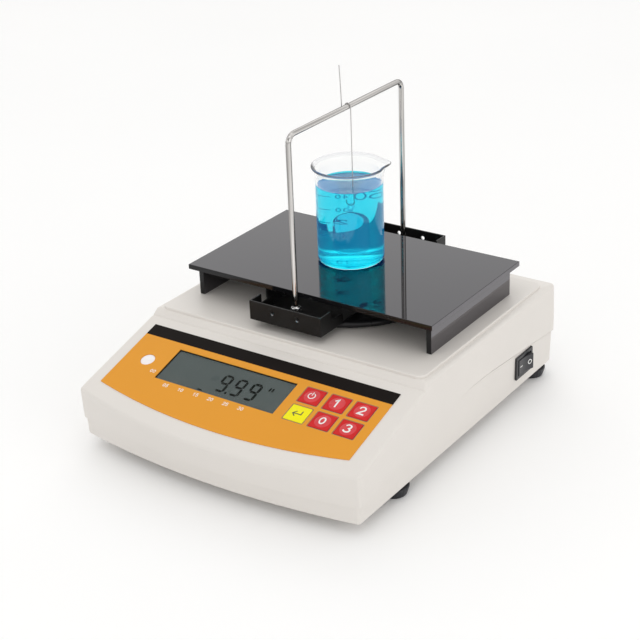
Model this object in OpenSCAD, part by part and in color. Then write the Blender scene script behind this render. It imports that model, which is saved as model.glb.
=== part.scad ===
// Benchtop liquid density meter: a weighing casing with a sloped key panel, a
// steel gantry on the weighing cradle, an acrylic bridge table that carries the
// beaker, and a glass plummet that hangs from the gantry into the sample.
// Millimetres, +Z up, +X to the operator's right, +Y to the rear.
// The origin is the middle of the footprint, on the bench.

/* [Casing] */
// Half width of the tray at its bottom edge
tray_hw = 96.35; // [94:0.05:97]
// Half width of the cover at its lower edge
cover_hw = 97.9; // [97.4:0.05:99]
// Height of the casing's underside over the bench
case_z0 = 7.4; // [7:0.1:10]
// Wall thickness of cover and tray
wall = 2.2; // [1.8:0.1:3]
// Height of the level deck under the plateau
deck_z = 61.7; // [61:0.1:62]
// Height of the raised plateau
plateau_z = 63.3; // [63:0.1:63.6]
// Tilt of the key panel
slope_a = 16; // [15.5:0.1:16.5]

/* [Panel] */
// Width of one key
key_w = 12.9; // [10:0.1:14]
// Height of one key along the slope
key_h = 11.7; // [9:0.1:12.5]
// Travel of a key
key_travel = 0.5; // [0.2:0.1:0.5]
// Width of the display window
lcd_w = 85.1; // [70:0.1:88]
// Height of the display window along the slope
lcd_h = 26.2; // [18:0.1:28]

/* [Weighing side] */
// Radius of the round weighing pan
pan_r = 54; // [40:1:56]
// Width of the cradle
cradle_w = 50.7; // [40:0.1:60]
// Diameter of the gantry rod
rod_d = 3.2; // [2.5:0.1:4]
// Height of the crossbar's centre line
bar_z = 182.45; // [160:0.05:183]
// Centre-line radius of the gantry's bends
bend_r = 5.5; // [4:0.5:8]
// Wire diameter of the hook
wire_d = 0.6; // [0.4:0.1:0.8]

/* [Bridge table] */
// Width of the table
bridge_w = 173.3; // [150:0.1:176]
// Depth of the table
bridge_d = 103.7; // [90:0.1:106]
// Thickness of the acrylic sheet
sheet_t = 3.2; // [2.8:0.1:3.4]
// Height of the table's top face
bridge_z = 84.33; // [82:0.01:85]

/* [Beaker] */
// Outer radius of the beaker
beaker_r = 20.5; // [20:0.1:21]
// Height of the beaker
beaker_h = 59.9; // [58:0.1:61]
// Radius of the plummet
plummet_r = 8.8; // [8:0.1:9]

/* [Hidden] */
$fn = 48;
slope_y = -38.95;
slope_z = 58.14;
pan_x = -2.4;
pan_y = 41;
cradle_x = -2.54;
cradle_y0 = -30.91;
cradle_y1 = 111.03;
cradle_z = 68.3;
cradle_top = 80.44;
cradle_t = 1;
rod_x = -2.2;
rod_y0 = -19.76;
rod_y1 = 99.96;
bridge_y = 37.9;
leg_in_x = 3.6;
leg_in_y = 5.2;
beaker_x = -4.9;
beaker_y = 43.8;
beaker_wall = 1.3;
beaker_floor = 2;
liquid_top = 132.3;
hang_y = 40.6;
hang_x = -0.18;
eye_r = 2.2;
eye_z = 124.5;
key_xs = [39.7, 56.4, 72.9];
key_vs = [-27.4, -42.25];
lcd_x0 = -59.0;
lcd_v0 = -47.5;
spot_x = -72.9;
spot_v = -36;
spot_r = 4.6;
foot_pts = [[-87.5, -57.7], [87.5, -57.7], [-87.5, 107], [87.5, 107]];
screw_pts = [[-84, -86], [84, -86], [-80, 92], [80, 92]];
board_pts = [[-84, 14], [-30, 14], [-84, 80], [-30, 80]];
sw_y = 77.5;
sw_z = 23.2;
sw_x = 96.95;
sw_pivot_x = 94.2;
seam_pts = [[-140, 18.2], [-109, 18.8], [-84, 22.4], [-24, 30.6], [-10, 33.6],
            [2, 36.2], [14, 36.8], [36, 36.2], [130, 28]];
ink = "#1b1b1d";
cream = "#e2ded6";
steel = "#b9bcc0";

function unit(v) = v / norm(v);

// ---- shared shapes -------------------------------------------------------

// Plan outline of the casing: straight back with round corners, bowed front.
module outline(hw, yc, yn, yb, r, n = 24)
  polygon(concat(
    [for (i = [0 : n]) let (x = -hw + 2 * hw * i / n) [x, yc + (yn - yc) * pow(x / hw, 2)]],
    [for (a = [0 : 15 : 90]) [hw - r + r * cos(a), yb - r + r * sin(a)]],
    [for (a = [90 : 15 : 180]) [-hw + r + r * cos(a), yb - r + r * sin(a)]]));

module slab(z, hw, yc, yn, yb, r)
  translate([0, 0, z]) linear_extrude(0.01) outline(hw, yc, yn, yb, r);

// Solid form of the lower tray, drawn in by t on every side.
module tray_form(t = 0)
  hull() {
    slab(case_z0 + (t > 0 ? 2.5 : 0), tray_hw - t, -114.4 + t, -105.8 + t, 117.7 - t, max(3.6 - t, 1));
    slab(39.99, tray_hw + 0.75 - t, -121 + t, -107 + t, 118.6 - t, max(3.6 - t, 1));
  }

// Solid form of the cover, drawn in by t on every side.
module cover_form(t = 0)
  hull() {
    slab(16, cover_hw - t, -116.8 + t, -106.7 + t, 119.1 - t, max(4 - t, 1));
    slab(38.5, cover_hw - t, -120.6 + t, -107.5 + t, 119.5 - t, max(4 - t, 1));
    slab(66, cover_hw - 0.9 - t, -120.6 + t, -107.5 + t, 119.6 - t, max(4 - t, 1));
  }

// Everything below the cover's top faces, lowered by t.
module below_top(t = 0) {
  intersection() {
    rotate([90, 0, 90]) translate([0, 0, -105]) linear_extrude(210)
      polygon([[-130, -5],
               [-130, slope_z - (130 + slope_y) * tan(slope_a) - t / cos(slope_a)],
               [slope_y + t * 0.3, slope_z - t / cos(slope_a) + t * 0.1],
               [-36.4 + t * 0.5, 60.6 - t], [-34.8 + t * 0.5, deck_z - t],
               [110, deck_z - t], [119.7, 60.3 - t], [130, 59 - t], [130, -5]]);
    rotate([90, 0, 0]) translate([0, 0, -130]) linear_extrude(260)
      polygon([[-99, -5], [99, -5], [99, 58.4 - t], [97, 59.9 - t], [94.3, deck_z - t],
               [-94.3, deck_z - t], [-97, 59.9 - t], [-99, 58.4 - t]]);
  }
}

// Everything below the line where cover and tray meet, moved up by dz.
module below_seam(dz = 0)
  rotate([90, 0, 90]) translate([0, 0, -105]) linear_extrude(210)
    polygon(concat([[-140, -5]], [for (p = seam_pts) [p[0], p[1] + dz]], [[130, -5]]));

module round_plate(x0, x1, y0, y1, r, h) {
  translate([x0 + r, y0, 0]) cube([x1 - x0 - 2 * r, y1 - y0, h]);
  translate([x0, y0 + r, 0]) cube([x1 - x0, y1 - y0 - 2 * r, h]);
  for (x = [x0 + r, x1 - r], y = [y0 + r, y1 - r]) translate([x, y, 0]) cylinder(h = h, r = r);
}

// Puts its children on the key panel: local x across, local y up the slope,
// local z out of the panel, with the zero at the deck's front edge.
module on_slope() translate([0, slope_y, slope_z]) rotate([slope_a, 0, 0]) children();

module at_keys() for (x = key_xs, v = key_vs) translate([x, v, 0]) children();

function tang(p, i) = unit(p[min(i + 1, len(p) - 1)] - p[max(i - 1, 0)]);
function norms(p, n0, i = 0) = i >= len(p) ? [] :
  let (t = tang(p, i), n = unit(n0 - (n0 * t) * t)) concat([n], norms(p, n, i + 1));

// Round wire swept along a list of points.
module wire(p, r, s = 8, n0 = [0, 1, 0]) {
  ns = norms(p, n0);
  m = len(p);
  polyhedron(
    points = [for (i = [0 : m - 1]) let (t = tang(p, i), n = ns[i], b = cross(t, n))
              for (k = [0 : s - 1]) p[i] + r * (cos(360 * k / s) * n + sin(360 * k / s) * b)],
    faces = concat([[for (k = [0 : s - 1]) k]],
      [for (i = [0 : m - 2]) for (k = [0 : s - 1])
        [i * s + k, (i + 1) * s + k, (i + 1) * s + (k + 1) % s]],
      [for (i = [0 : m - 2]) for (k = [0 : s - 1])
        [i * s + k, (i + 1) * s + (k + 1) % s, i * s + (k + 1) % s]],
      [[for (k = [s - 1 : -1 : 0]) (m - 1) * s + k]]));
}

module pan_head(r = 2.8, shank = 1.45, len = 10, head = 1.8) {
  cylinder(h = head, r = r);
  translate([0, 0, -len]) cylinder(h = len + 0.01, r = shank);
}

// ---- casing --------------------------------------------------------------

module base_tray() color(cream) difference() {
  union() {
    difference() {
      intersection() { tray_form(); below_seam(-0.25); }
      tray_form(wall);
    }
    intersection() {
      tray_form(0.5);
      union() {
        for (p = foot_pts) translate([p[0], p[1], case_z0 + 1]) cylinder(h = 11.6, r = 7);
        for (p = screw_pts) translate([p[0], p[1], case_z0 + 1]) cylinder(h = 9.6, r = 4.5);
        for (p = board_pts) translate([p[0], p[1], case_z0 + 1]) cylinder(h = 7.6, r = 3);
        // cross ribs
        translate([-70, -70, case_z0 + 1]) cube([140, 1.6, 6]);
        translate([-60, -30, case_z0 + 1]) cube([120, 1.6, 6]);
        translate([22, -29, case_z0 + 1]) cube([1.6, 130, 6]);
      }
    }
  }
  for (p = foot_pts) translate([p[0], p[1], 0]) cylinder(h = 30, r = 4.6);
  for (p = screw_pts) translate([p[0], p[1], 0]) {
    cylinder(h = 30, r = 1.9);
    cylinder(h = case_z0 + 3.2, r = 3.4);
  }
  for (p = board_pts) translate([p[0], p[1], case_z0 + 3]) cylinder(h = 30, r = 1.15);
  // holes for the load cell block's screws
  for (y = [5, 17]) translate([pan_x, y, 0]) {
    cylinder(h = 30, r = 2.6);
    cylinder(h = case_z0 + 1.3, r = 4.3);
  }
  // cut-out for the switch
  translate([sw_x - 8, sw_y - 9.6, sw_z - 6.6]) cube([20, 19.2, 13.2]);
  // opening behind the rear plate
  translate([8, 112, 12]) cube([76, 5, 14.4]);
  translate([10, 112, 13]) cube([72, 12, 12.4]);
  // ventilation slots in the floor
  for (i = [-4 : 4]) translate([-58 + i * 5, -58, 0]) cube([1.6, 22, 20]);
}

module top_cover() color(cream) difference() {
  union() {
    difference() {
      intersection() { cover_form(); below_top(); }
      intersection() { cover_form(wall); below_top(wall); }
      below_seam(0.25);
    }
    // plateau
    difference() {
      translate([0, 0, deck_z - 0.6])
        round_plate(-93.1, 93.1, -35.2, 109, 5, plateau_z - deck_z + 0.6);
      translate([0, 0, deck_z - 1]) round_plate(-91, 91, -33.2, 107, 4, plateau_z - deck_z + 1 - wall + 0.6);
    }
    // dust ring around the post
    translate([pan_x, pan_y, deck_z - wall]) cylinder(h = plateau_z - deck_z + wall + 1, r = 11);
    // screw towers
    intersection() {
      below_top(0.5);
      for (p = screw_pts) translate([p[0], p[1], case_z0 + 10.9]) cylinder(h = 50, r = 4.2);
    }
  }
  translate([pan_x, pan_y, 40]) cylinder(h = 40, r = 8);
  for (p = screw_pts) translate([p[0], p[1], case_z0 + 5]) cylinder(h = 22, r = 1.3);
  on_slope() {
    // display opening
    translate([lcd_x0 + 0.8, lcd_v0 + 0.8, -8]) cube([lcd_w - 1.6, lcd_h - 1.6, 10]);
    translate([lcd_x0 - 1, lcd_v0 - 1, -0.5]) cube([lcd_w + 2, lcd_h + 2, 3]);
    // key pockets and the holes of their nibs
    at_keys() {
      translate([-key_w / 2 - 0.3, -key_h / 2 - 0.3, -0.75]) cube([key_w + 0.6, key_h + 0.6, 2]);
      translate([0, 0, -8]) cylinder(h = 10, r = 2.6);
    }
    translate([spot_x, spot_v, -9]) cylinder(h = 12, r = spot_r + 1.2);
  }
}

module casing_screws() color(steel)
  for (p = screw_pts) translate([p[0], p[1], case_z0 + 1.4]) {
    cylinder(h = 1.8, r = 3.1);
    cylinder(h = 19, r = 1.25);
  }

module foot_inserts() color("#b08d3c")
  for (p = foot_pts) translate([p[0], p[1], case_z0 + 3]) difference() {
    cylinder(h = 9, r = 4.6);
    translate([0, 0, -1]) cylinder(h = 11, r = 3.05);
  }

module foot(i) color(ink) translate([foot_pts[i][0], foot_pts[i][1], 0]) {
  rotate_extrude() polygon([[0, 0], [7.1, 0], [7.6, 0.6], [9, 5.2], [9, 6], [8.4, 6.2], [0, 6.2]]);
  cylinder(h = 18.5, r = 3);
}
module foot_front_left() foot(0);
module foot_front_right() foot(1);
module foot_rear_left() foot(2);
module foot_rear_right() foot(3);

// ---- key panel -----------------------------------------------------------

module panel_outline(n = 20)
  polygon(concat(
    [for (i = [0 : n]) let (x = -88.8 + 174.6 * i / n)
      [x, -71.8 + 9.95 * pow((x + 1.5) / 87.3, 2)]],
    [[85.8, -7.6], [-88.8, -7.6]]));

module panel_overlay() color("#e8a131") on_slope() difference() {
  linear_extrude(0.5) panel_outline();
  translate([lcd_x0, lcd_v0, -1]) cube([lcd_w, lcd_h, 3]);
  at_keys() translate([-key_w / 2 - 0.2, -key_h / 2 - 0.2, -1]) cube([key_w + 0.4, key_h + 0.4, 3]);
  translate([spot_x, spot_v, -1]) cylinder(h = 3, r = spot_r);
}

module display_window() color([0.75, 0.8, 0.8, 0.4]) on_slope() {
  translate([lcd_x0 - 0.8, lcd_v0 - 0.8, -0.5]) cube([lcd_w + 1.6, lcd_h + 1.6, 0.5]);
}

module display_glass() color("#8d9896") on_slope()
  translate([lcd_x0 + 1, lcd_v0 + 1, -3.4]) cube([lcd_w - 2, lcd_h - 2, 2.8]);

module display_frame() color(ink) on_slope() difference() {
  translate([lcd_x0 - 2, lcd_v0 - 2.4, -6.6]) cube([lcd_w + 4, lcd_h + 4.8, 4]);
  translate([lcd_x0 + 0.9, lcd_v0 + 0.9, -3.45]) cube([lcd_w - 1.8, lcd_h - 1.8, 6]);
}

module display_board() color("#2f6b3a") on_slope()
  translate([lcd_x0 - 3, lcd_v0 - 7, -8.4]) cube([lcd_w + 6, lcd_h + 14, 1.6]);

module key_board() color("#2f6b3a") on_slope()
  translate([31.2, -52, -8.4]) cube([48, 34, 1.6]);

module key_switches() color("#303236") on_slope() at_keys() {
  translate([-3, -3, -6.8]) cube([6, 6, 3.4]);
  translate([0, 0, -3.5]) cylinder(h = 0.8, r = 1.7);
}

module key(c, x, v) color(c) on_slope() translate([x, v, 0]) {
  translate([-key_w / 2, -key_h / 2, -0.2]) cube([key_w, key_h, 0.95]);
  translate([0, 0, 0.5]) cylinder(h = 0.75, r = 4.6);
  translate([0, 0, -2.1]) cylinder(h = 2, r = 1.6);
}
module key_power() key("#cf2029", key_xs[0], key_vs[0]);
module key_1() key("#cf2029", key_xs[1], key_vs[0]);
module key_2() key("#cf2029", key_xs[2], key_vs[0]);
module key_enter() key("#efe01f", key_xs[0], key_vs[1]);
module key_zero() key("#cf2029", key_xs[1], key_vs[1]);
module key_3() key("#cf2029", key_xs[2], key_vs[1]);

module level_vial() color("#f4f4ee") on_slope() translate([spot_x, spot_v, -7.6]) difference() {
  cylinder(h = 6.9, r = spot_r + 0.9);
  translate([0, 0, 1.6]) cylinder(h = 6, r = spot_r - 0.1);
}
module level_lens() color([0.95, 0.96, 0.94, 0.6]) on_slope() translate([spot_x, spot_v, -5.9])
  intersection() {
    cylinder(h = 6.2, r = spot_r - 0.15);
    translate([0, 0, -17.8]) sphere(r = 24);
  }

// ---- electronics ---------------------------------------------------------

module main_board() color("#2f6b3a") difference() {
  translate([-88, 10, case_z0 + 8.6]) cube([62, 74, 1.6]);
  for (p = board_pts) translate([p[0], p[1], 0]) cylinder(h = 40, r = 1.5);
}

module board_parts() color("#3a3c40") translate([0, 0, case_z0 + 10.2]) {
  translate([-80, 24, 0]) cube([16, 16, 2.2]);
  translate([-58, 22, 0]) cube([18, 12, 9]);
  translate([-80, 50, 0]) cube([24, 10, 6]);
  for (i = [0 : 2]) translate([-46 + i * 8, 50, 0]) cylinder(h = 11, r = 3.1);
  translate([-78, 70, 0]) cube([30, 5, 7]);
  translate([-42, 64, 0]) cube([10, 14, 8]);
}

module board_screws() color(steel)
  for (p = board_pts) translate([p[0], p[1], case_z0 + 10.2]) pan_head(2.6, 1.1, 6, 1.6);

// Flat cable from the display board to the main board.
module ribbon_cable() color("#a6a9ae")
  rotate([90, 0, 90]) translate([0, 0, -52]) linear_extrude(16)
    polygon([[-58, 41.6], [-56.4, 42.2], [-53, 29], [-44, 21.4], [10.2, 21], [14.6, 18.9],
             [14.6, 17.8], [9.8, 20], [-44.6, 20.2], [-54.2, 28.4]]);

// ---- weighing cell -------------------------------------------------------

module load_cell_block() color("#c3c6c9") difference() {
  translate([pan_x - 12, 1, case_z0 + 2.6]) cube([24, 20, 14.4]);
  for (y = [5, 17]) translate([pan_x, y, 0]) cylinder(h = 40, r = 2.5);
}

module load_cell() color("#d2d4d6") translate([pan_x, 0, 24.4]) difference() {
  translate([-10, 1, 0]) cube([20, 80, 18]);
  // twin flexure holes joined by a slot
  for (y = [33, 49]) translate([-15, y, 9]) rotate([0, 90, 0]) cylinder(h = 30, r = 6.4);
  translate([-15, 33, 6]) cube([30, 16, 6]);
  for (y = [5, 17]) translate([0, y, -1]) cylinder(h = 12, r = 2.15);
  for (y = [65, 77]) translate([0, y, 8]) cylinder(h = 12, r = 2.15);
}

module load_cell_screws() color(steel)
  for (y = [5, 17]) translate([pan_x, y, case_z0 + 0.1]) {
    cylinder(h = 1.2, r = 4);
    cylinder(h = 25.7, r = 2.1);
  }

module overload_stop() color(steel) translate([pan_x, 71, 9.9]) {
  cylinder(h = 3, r = 5, $fn = 6);
  cylinder(h = 13.5, r = 2.5);
}

module cell_bracket() color("#c3c6c9") difference() {
  union() {
    translate([pan_x - 9, 61, 42.4]) cube([18, 20, 1.6]);
    translate([pan_x - 9, 29, 44]) cube([18, 52, 3]);
    translate([pan_x, pan_y, 44]) cylinder(h = 3, r = 13);
  }
  for (y = [65, 77]) translate([pan_x, y, 40]) cylinder(h = 12, r = 2.3);
  translate([pan_x, pan_y, 40]) cylinder(h = 12, r = 2.2);
}

module bracket_screws() color(steel) {
  for (y = [65, 77]) translate([pan_x, y, 47]) pan_head(3.6, 2.1, 13, 2.4);
}

module pan_post() color(steel) translate([pan_x, pan_y, 0]) difference() {
  union() {
    translate([0, 0, 43.2]) cylinder(h = 4, r = 2.15);
    translate([0, 0, 47]) cylinder(h = 19, r = 4.5);
    translate([0, 0, 65.6]) cylinder(h = 1.8, r = 12);
  }
  // room for the ends of the cradle's screws
  for (y = [-8, 8]) translate([0, y, 60]) cylinder(h = 12, r = 2);
}

module weighing_pan() color(ink) translate([pan_x, pan_y, 0]) difference() {
  rotate_extrude($fn = 96) polygon([[0, 67.4], [pan_r - 2.2, 67.4], [pan_r - 0.8, 66.2], [pan_r - 0.8, 64.5],
    [pan_r, 64.5], [pan_r, 66.6], [pan_r - 0.5, 67.7], [pan_r - 1.6, cradle_z - 0.1], [0, cradle_z]]);
  for (y = [-8, 8]) translate([0, y, 60]) cylinder(h = 12, r = 1.6);
}

// ---- cradle and gantry ---------------------------------------------------

module cradle() color(ink) difference() {
  x0 = cradle_x - cradle_w / 2;
  union() {
    // floor
    translate([x0, cradle_y0, cradle_z]) cube([cradle_w, cradle_y1 - cradle_y0, cradle_t]);
    for (e = [0, 1]) {
      // end flanges
      translate([x0, e == 0 ? cradle_y0 : cradle_y1 - cradle_t, cradle_z])
        cube([cradle_w, cradle_t, cradle_top - cradle_z]);
      for (s = [0, 1]) {
        xw = s == 0 ? x0 : x0 + cradle_w - cradle_t;
        // ears beside the flange, then the low side walls
        translate([xw, e == 0 ? cradle_y0 : cradle_y1 - 11, cradle_z])
          cube([cradle_t, 11, cradle_top - cradle_z]);
        translate([xw, e == 0 ? cradle_y0 : cradle_y1 - 23.1, cradle_z])
          cube([cradle_t, 23.1, 6.3]);
      }
    }
  }
  for (y = [rod_y0, rod_y1]) translate([rod_x, y, 60]) cylinder(h = 20, r = 1.7);
  for (y = [-8, 8]) translate([pan_x, pan_y + y, 60]) cylinder(h = 12, r = 1.6);
  for (x = [-8.9, 8.9]) translate([cradle_x + x, -60, 75.6]) rotate([-90, 0, 0]) cylinder(h = 240, r = 1.3);
}

module cradle_screws() color(steel)
  for (y = [-8, 8]) translate([pan_x, pan_y + y, cradle_z + cradle_t]) pan_head(2.7, 1.5, 3.2, 1.6);

module gantry_rod() color(steel) {
  r = rod_d / 2;
  for (y = [rod_y0, rod_y1]) translate([rod_x, y, 64.6]) cylinder(h = bar_z - bend_r - 64.6, r = r);
  translate([rod_x, rod_y0 + bend_r, bar_z]) rotate([-90, 0, 0])
    cylinder(h = rod_y1 - rod_y0 - 2 * bend_r, r = r);
  translate([rod_x, rod_y0 + bend_r, bar_z - bend_r]) rotate([90, 0, -90])
    rotate_extrude(angle = 90) translate([bend_r, 0]) circle(r = r);
  translate([rod_x, rod_y1 - bend_r, bar_z - bend_r]) rotate([90, 0, 90])
    rotate_extrude(angle = 90) translate([bend_r, 0]) circle(r = r);
}

module hex_nut(h, bore) difference() {
  cylinder(h = h, r = 3.2, $fn = 6);
  translate([0, 0, -1]) cylinder(h = h + 2, r = bore);
}
module gantry_nuts() color("#d9dbdd")
  for (y = [rod_y0, rod_y1]) translate([rod_x, y, cradle_z + cradle_t]) hex_nut(8.4, rod_d / 2 + 0.02);

module gantry_lock_nuts() color("#d9dbdd")
  for (y = [rod_y0, rod_y1]) translate([rod_x, y, cradle_z - 2.4]) hex_nut(2.4, rod_d / 2 + 0.02);

// ---- bridge table --------------------------------------------------------

module bridge_top() color(ink)
  translate([-bridge_w / 2, bridge_y - bridge_d / 2, bridge_z - sheet_t]) cube([bridge_w, bridge_d, sheet_t]);

module bridge_leg(s) color(ink)
  translate([s < 0 ? -bridge_w / 2 + leg_in_x : bridge_w / 2 - leg_in_x - sheet_t,
             bridge_y - bridge_d / 2 + leg_in_y, plateau_z])
    cube([sheet_t, bridge_d - 2 * leg_in_y, bridge_z - sheet_t - plateau_z]);
module bridge_leg_left() bridge_leg(-1);
module bridge_leg_right() bridge_leg(1);

// ---- hook, plummet, beaker -----------------------------------------------

hook_r = hang_x - rod_x;
hook_path = concat(
  // small open hook at the bottom, then the long straight drop
  [for (a = [-112.5 : 22.5 : 67.5]) [hang_x - eye_r + eye_r * sin(a), hang_y, eye_z - eye_r * cos(a)]],
  [[hang_x, hang_y, eye_z + 1], [hang_x, hang_y, eye_z + 6],
   [hang_x, hang_y, bar_z - 30], [hang_x, hang_y, bar_z - 3]],
  [for (a = [0 : 22.5 : 180]) [rod_x + hook_r * cos(a), hang_y, bar_z + hook_r * sin(a)]],
  [[rod_x - hook_r, hang_y - 0.2, bar_z - 1.4], [rod_x - hook_r, hang_y - 0.9, bar_z - 2.5],
   [rod_x - hook_r, hang_y - 1.8, bar_z - 2.8], [rod_x - hook_r, hang_y - 2.7, bar_z - 2.3],
   [rod_x - hook_r, hang_y - 3.2, bar_z - 1], [rod_x - hook_r, hang_y - 3.4, bar_z + 1.5],
   [rod_x - hook_r - 0.3, hang_y - 3.4, bar_z + 12], [rod_x - hook_r - 0.9, hang_y - 3.4, bar_z + 25.4]]);

module hook_wire() color(steel) wire(hook_path, wire_d / 2, 8, [0, 1, 0]);

// Glass plummet with a domed top, a short neck and a ring.
module plummet() color([0.8, 0.9, 0.95, 0.5]) translate([hang_x - eye_r, hang_y, 0]) {
  rotate_extrude() polygon(concat(
    [[0, 92.2], [plummet_r - 2, 92.2]],
    [for (a = [-90 : 15 : 0]) [plummet_r - 2 + 2 * cos(a), 94.2 + 2 * sin(a)]],
    [for (a = [0 : 10 : 80]) [plummet_r * cos(a), 110.4 + 7.3 * sin(a)]],
    [[1.2, 117.9], [1.1, 119.2], [0, 119.2]]));
  translate([0, 0, 121]) rotate([0, 90, 0])
    rotate_extrude($fn = 32) translate([2.3, 0]) circle(r = 0.55);
}

module beaker() color([0.85, 0.92, 0.95, 0.35]) translate([beaker_x, beaker_y, bridge_z])
  rotate_extrude($fn = 96) polygon(concat(
    [[0, 0], [beaker_r - 2.2, 0]],
    [for (a = [-90 : 18 : 0]) [beaker_r - 2.2 + 2.2 * cos(a), 2.2 + 2.2 * sin(a)]],
    [[beaker_r, beaker_h - 3.6], [beaker_r + 0.5, beaker_h - 2.2], [beaker_r + 1.6, beaker_h - 0.9],
     [beaker_r + 2.8, beaker_h - 0.3], [beaker_r + 2.7, beaker_h], [beaker_r + 1.4, beaker_h],
     [beaker_r + 0.1, beaker_h - 0.9], [beaker_r - 0.9, beaker_h - 2.4], [beaker_r - beaker_wall, beaker_h - 4.4]],
    [for (a = [0 : 18 : 90]) [beaker_r - beaker_wall - 1.6 + 1.6 * cos(a), beaker_floor + 1.6 - 1.6 * sin(a)]],
    [[0, beaker_floor]]));

module sample_liquid() color([0.1, 0.68, 0.9, 0.6]) difference() {
  translate([beaker_x, beaker_y, bridge_z]) rotate_extrude($fn = 96)
    polygon([[0, beaker_floor + 0.05], [beaker_r - beaker_wall - 1.7, beaker_floor + 0.05],
             [beaker_r - beaker_wall - 0.05, beaker_floor + 1.7],
             [beaker_r - beaker_wall - 0.05, liquid_top - bridge_z], [0, liquid_top - bridge_z]]);
  // room for the plummet and the wire
  translate([hang_x - eye_r, hang_y, 91.4]) cylinder(h = 27.8, r = plummet_r + 0.6);
  translate([hang_x - eye_r, hang_y, 119]) cylinder(h = 40, r = 3.6);
}

// ---- rocker switch -------------------------------------------------------

module switch_housing() color(ink) difference() {
  union() {
    translate([sw_x, sw_y - 10.5, sw_z - 7.5]) cube([1.2, 21, 15]);
    translate([sw_x - 15, sw_y - 9.4, sw_z - 6.4]) cube([15.1, 18.8, 12.8]);
  }
  translate([sw_x - 13.6, sw_y - 8.35, sw_z - 5.4]) cube([20, 16.7, 10.8]);
  translate([sw_pivot_x, sw_y, sw_z - 6.1]) cylinder(h = 12.2, r = 1.05);
}

// Paddle on a vertical pivot; at rest its front end is pressed in.
module switch_rocker() color("#26262a") translate([sw_pivot_x, sw_y, sw_z]) {
  rotate([0, 0, -9]) translate([0, 0, -5.1]) linear_extrude(10.2)
    polygon([[-2.2, -3.2], [1.6, -7.4], [5.7, -7.4], [4.9, -4], [4.6, 0], [4.9, 4], [5.7, 7.4], [1.6, 7.4], [-2.2, 3.2]]);
  translate([0, 0, -6]) cylinder(h = 12, r = 1);
}

module switch_terminals() color("#c9a85a")
  for (y = [-5.5, 5.5]) translate([sw_x - 23, sw_y + y - 2.4, sw_z - 0.4]) cube([8, 4.8, 0.8]);

// ---- rear connectors -----------------------------------------------------

module rear_plate() color("#2a2a2d") difference() {
  translate([8.4, 115.4, 12.3]) cube([75.2, 1.6, 13.8]);
  translate([24, 110, 19.2]) rotate([-90, 0, 0]) cylinder(h = 12, r = 4.1);
  translate([44.7, 110, 14.8]) cube([19.6, 12, 8.8]);
  for (x = [12.5, 79.5]) translate([x, 110, 19.2]) rotate([-90, 0, 0]) cylinder(h = 12, r = 1.5);
  for (x = [42, 67]) translate([x, 110, 19.2]) rotate([-90, 0, 0]) cylinder(h = 12, r = 1.6);
}
module rear_plate_screws() color(steel)
  for (x = [12.5, 79.5]) translate([x, 117, 19.2]) rotate([-90, 0, 0]) pan_head(2.4, 1.3, 7, 1);

module power_inlet() color(ink) translate([24, 0, 19.2]) rotate([-90, 0, 0]) difference() {
  union() {
    translate([0, 0, 117]) cylinder(h = 1.4, r = 5.4);
    translate([0, 0, 104]) cylinder(h = 14, r = 4.05);
  }
  translate([0, 0, 108]) difference() { cylinder(h = 12, r = 2.75); cylinder(h = 9, r = 1); }
}
module inlet_nut() color(steel) translate([24, 113.2, 19.2]) rotate([-90, 0, 0]) difference() {
  cylinder(h = 2.2, r = 6.2, $fn = 6);
  translate([0, 0, -1]) cylinder(h = 5, r = 4.1);
}

module serial_port() color("#c9cbce") difference() {
  union() {
    translate([39, 113.6, 13.4]) cube([31, 1.8, 11.6]);
    translate([45.3, 104, 15]) cube([18.4, 14.4, 8.4]);
  }
  translate([46.3, 112, 16]) cube([16.4, 8, 6.4]);
  for (x = [42, 67]) translate([x, 110, 19.2]) rotate([-90, 0, 0]) cylinder(h = 10, r = 1.55);
}
module serial_standoffs() color(steel)
  for (x = [42, 67]) translate([x, 117, 19.2]) rotate([-90, 0, 0]) {
    cylinder(h = 1.6, r = 2.6, $fn = 6);
    translate([0, 0, -6]) cylinder(h = 6.01, r = 1.5);
  }

base_tray();
top_cover();
casing_screws();
foot_inserts();
foot_front_left();
foot_front_right();
foot_rear_left();
foot_rear_right();
panel_overlay();
display_window();
display_glass();
display_frame();
display_board();
key_board();
key_switches();
key_power();
key_1();
key_2();
key_enter();
key_zero();
key_3();
level_vial();
level_lens();
main_board();
board_parts();
board_screws();
ribbon_cable();
load_cell_block();
load_cell();
load_cell_screws();
overload_stop();
cell_bracket();
bracket_screws();
pan_post();
weighing_pan();
cradle();
cradle_screws();
gantry_rod();
gantry_nuts();
gantry_lock_nuts();
bridge_top();
bridge_leg_left();
bridge_leg_right();
hook_wire();
plummet();
beaker();
sample_liquid();
switch_housing();
switch_rocker();
switch_terminals();
rear_plate();
rear_plate_screws();
power_inlet();
inlet_nut();
serial_port();
serial_standoffs();
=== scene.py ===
import bpy, bmesh, math
from math import sin, cos, tan, pi, radians, sqrt, atan2, hypot
from mathutils import Matrix, Vector


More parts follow.
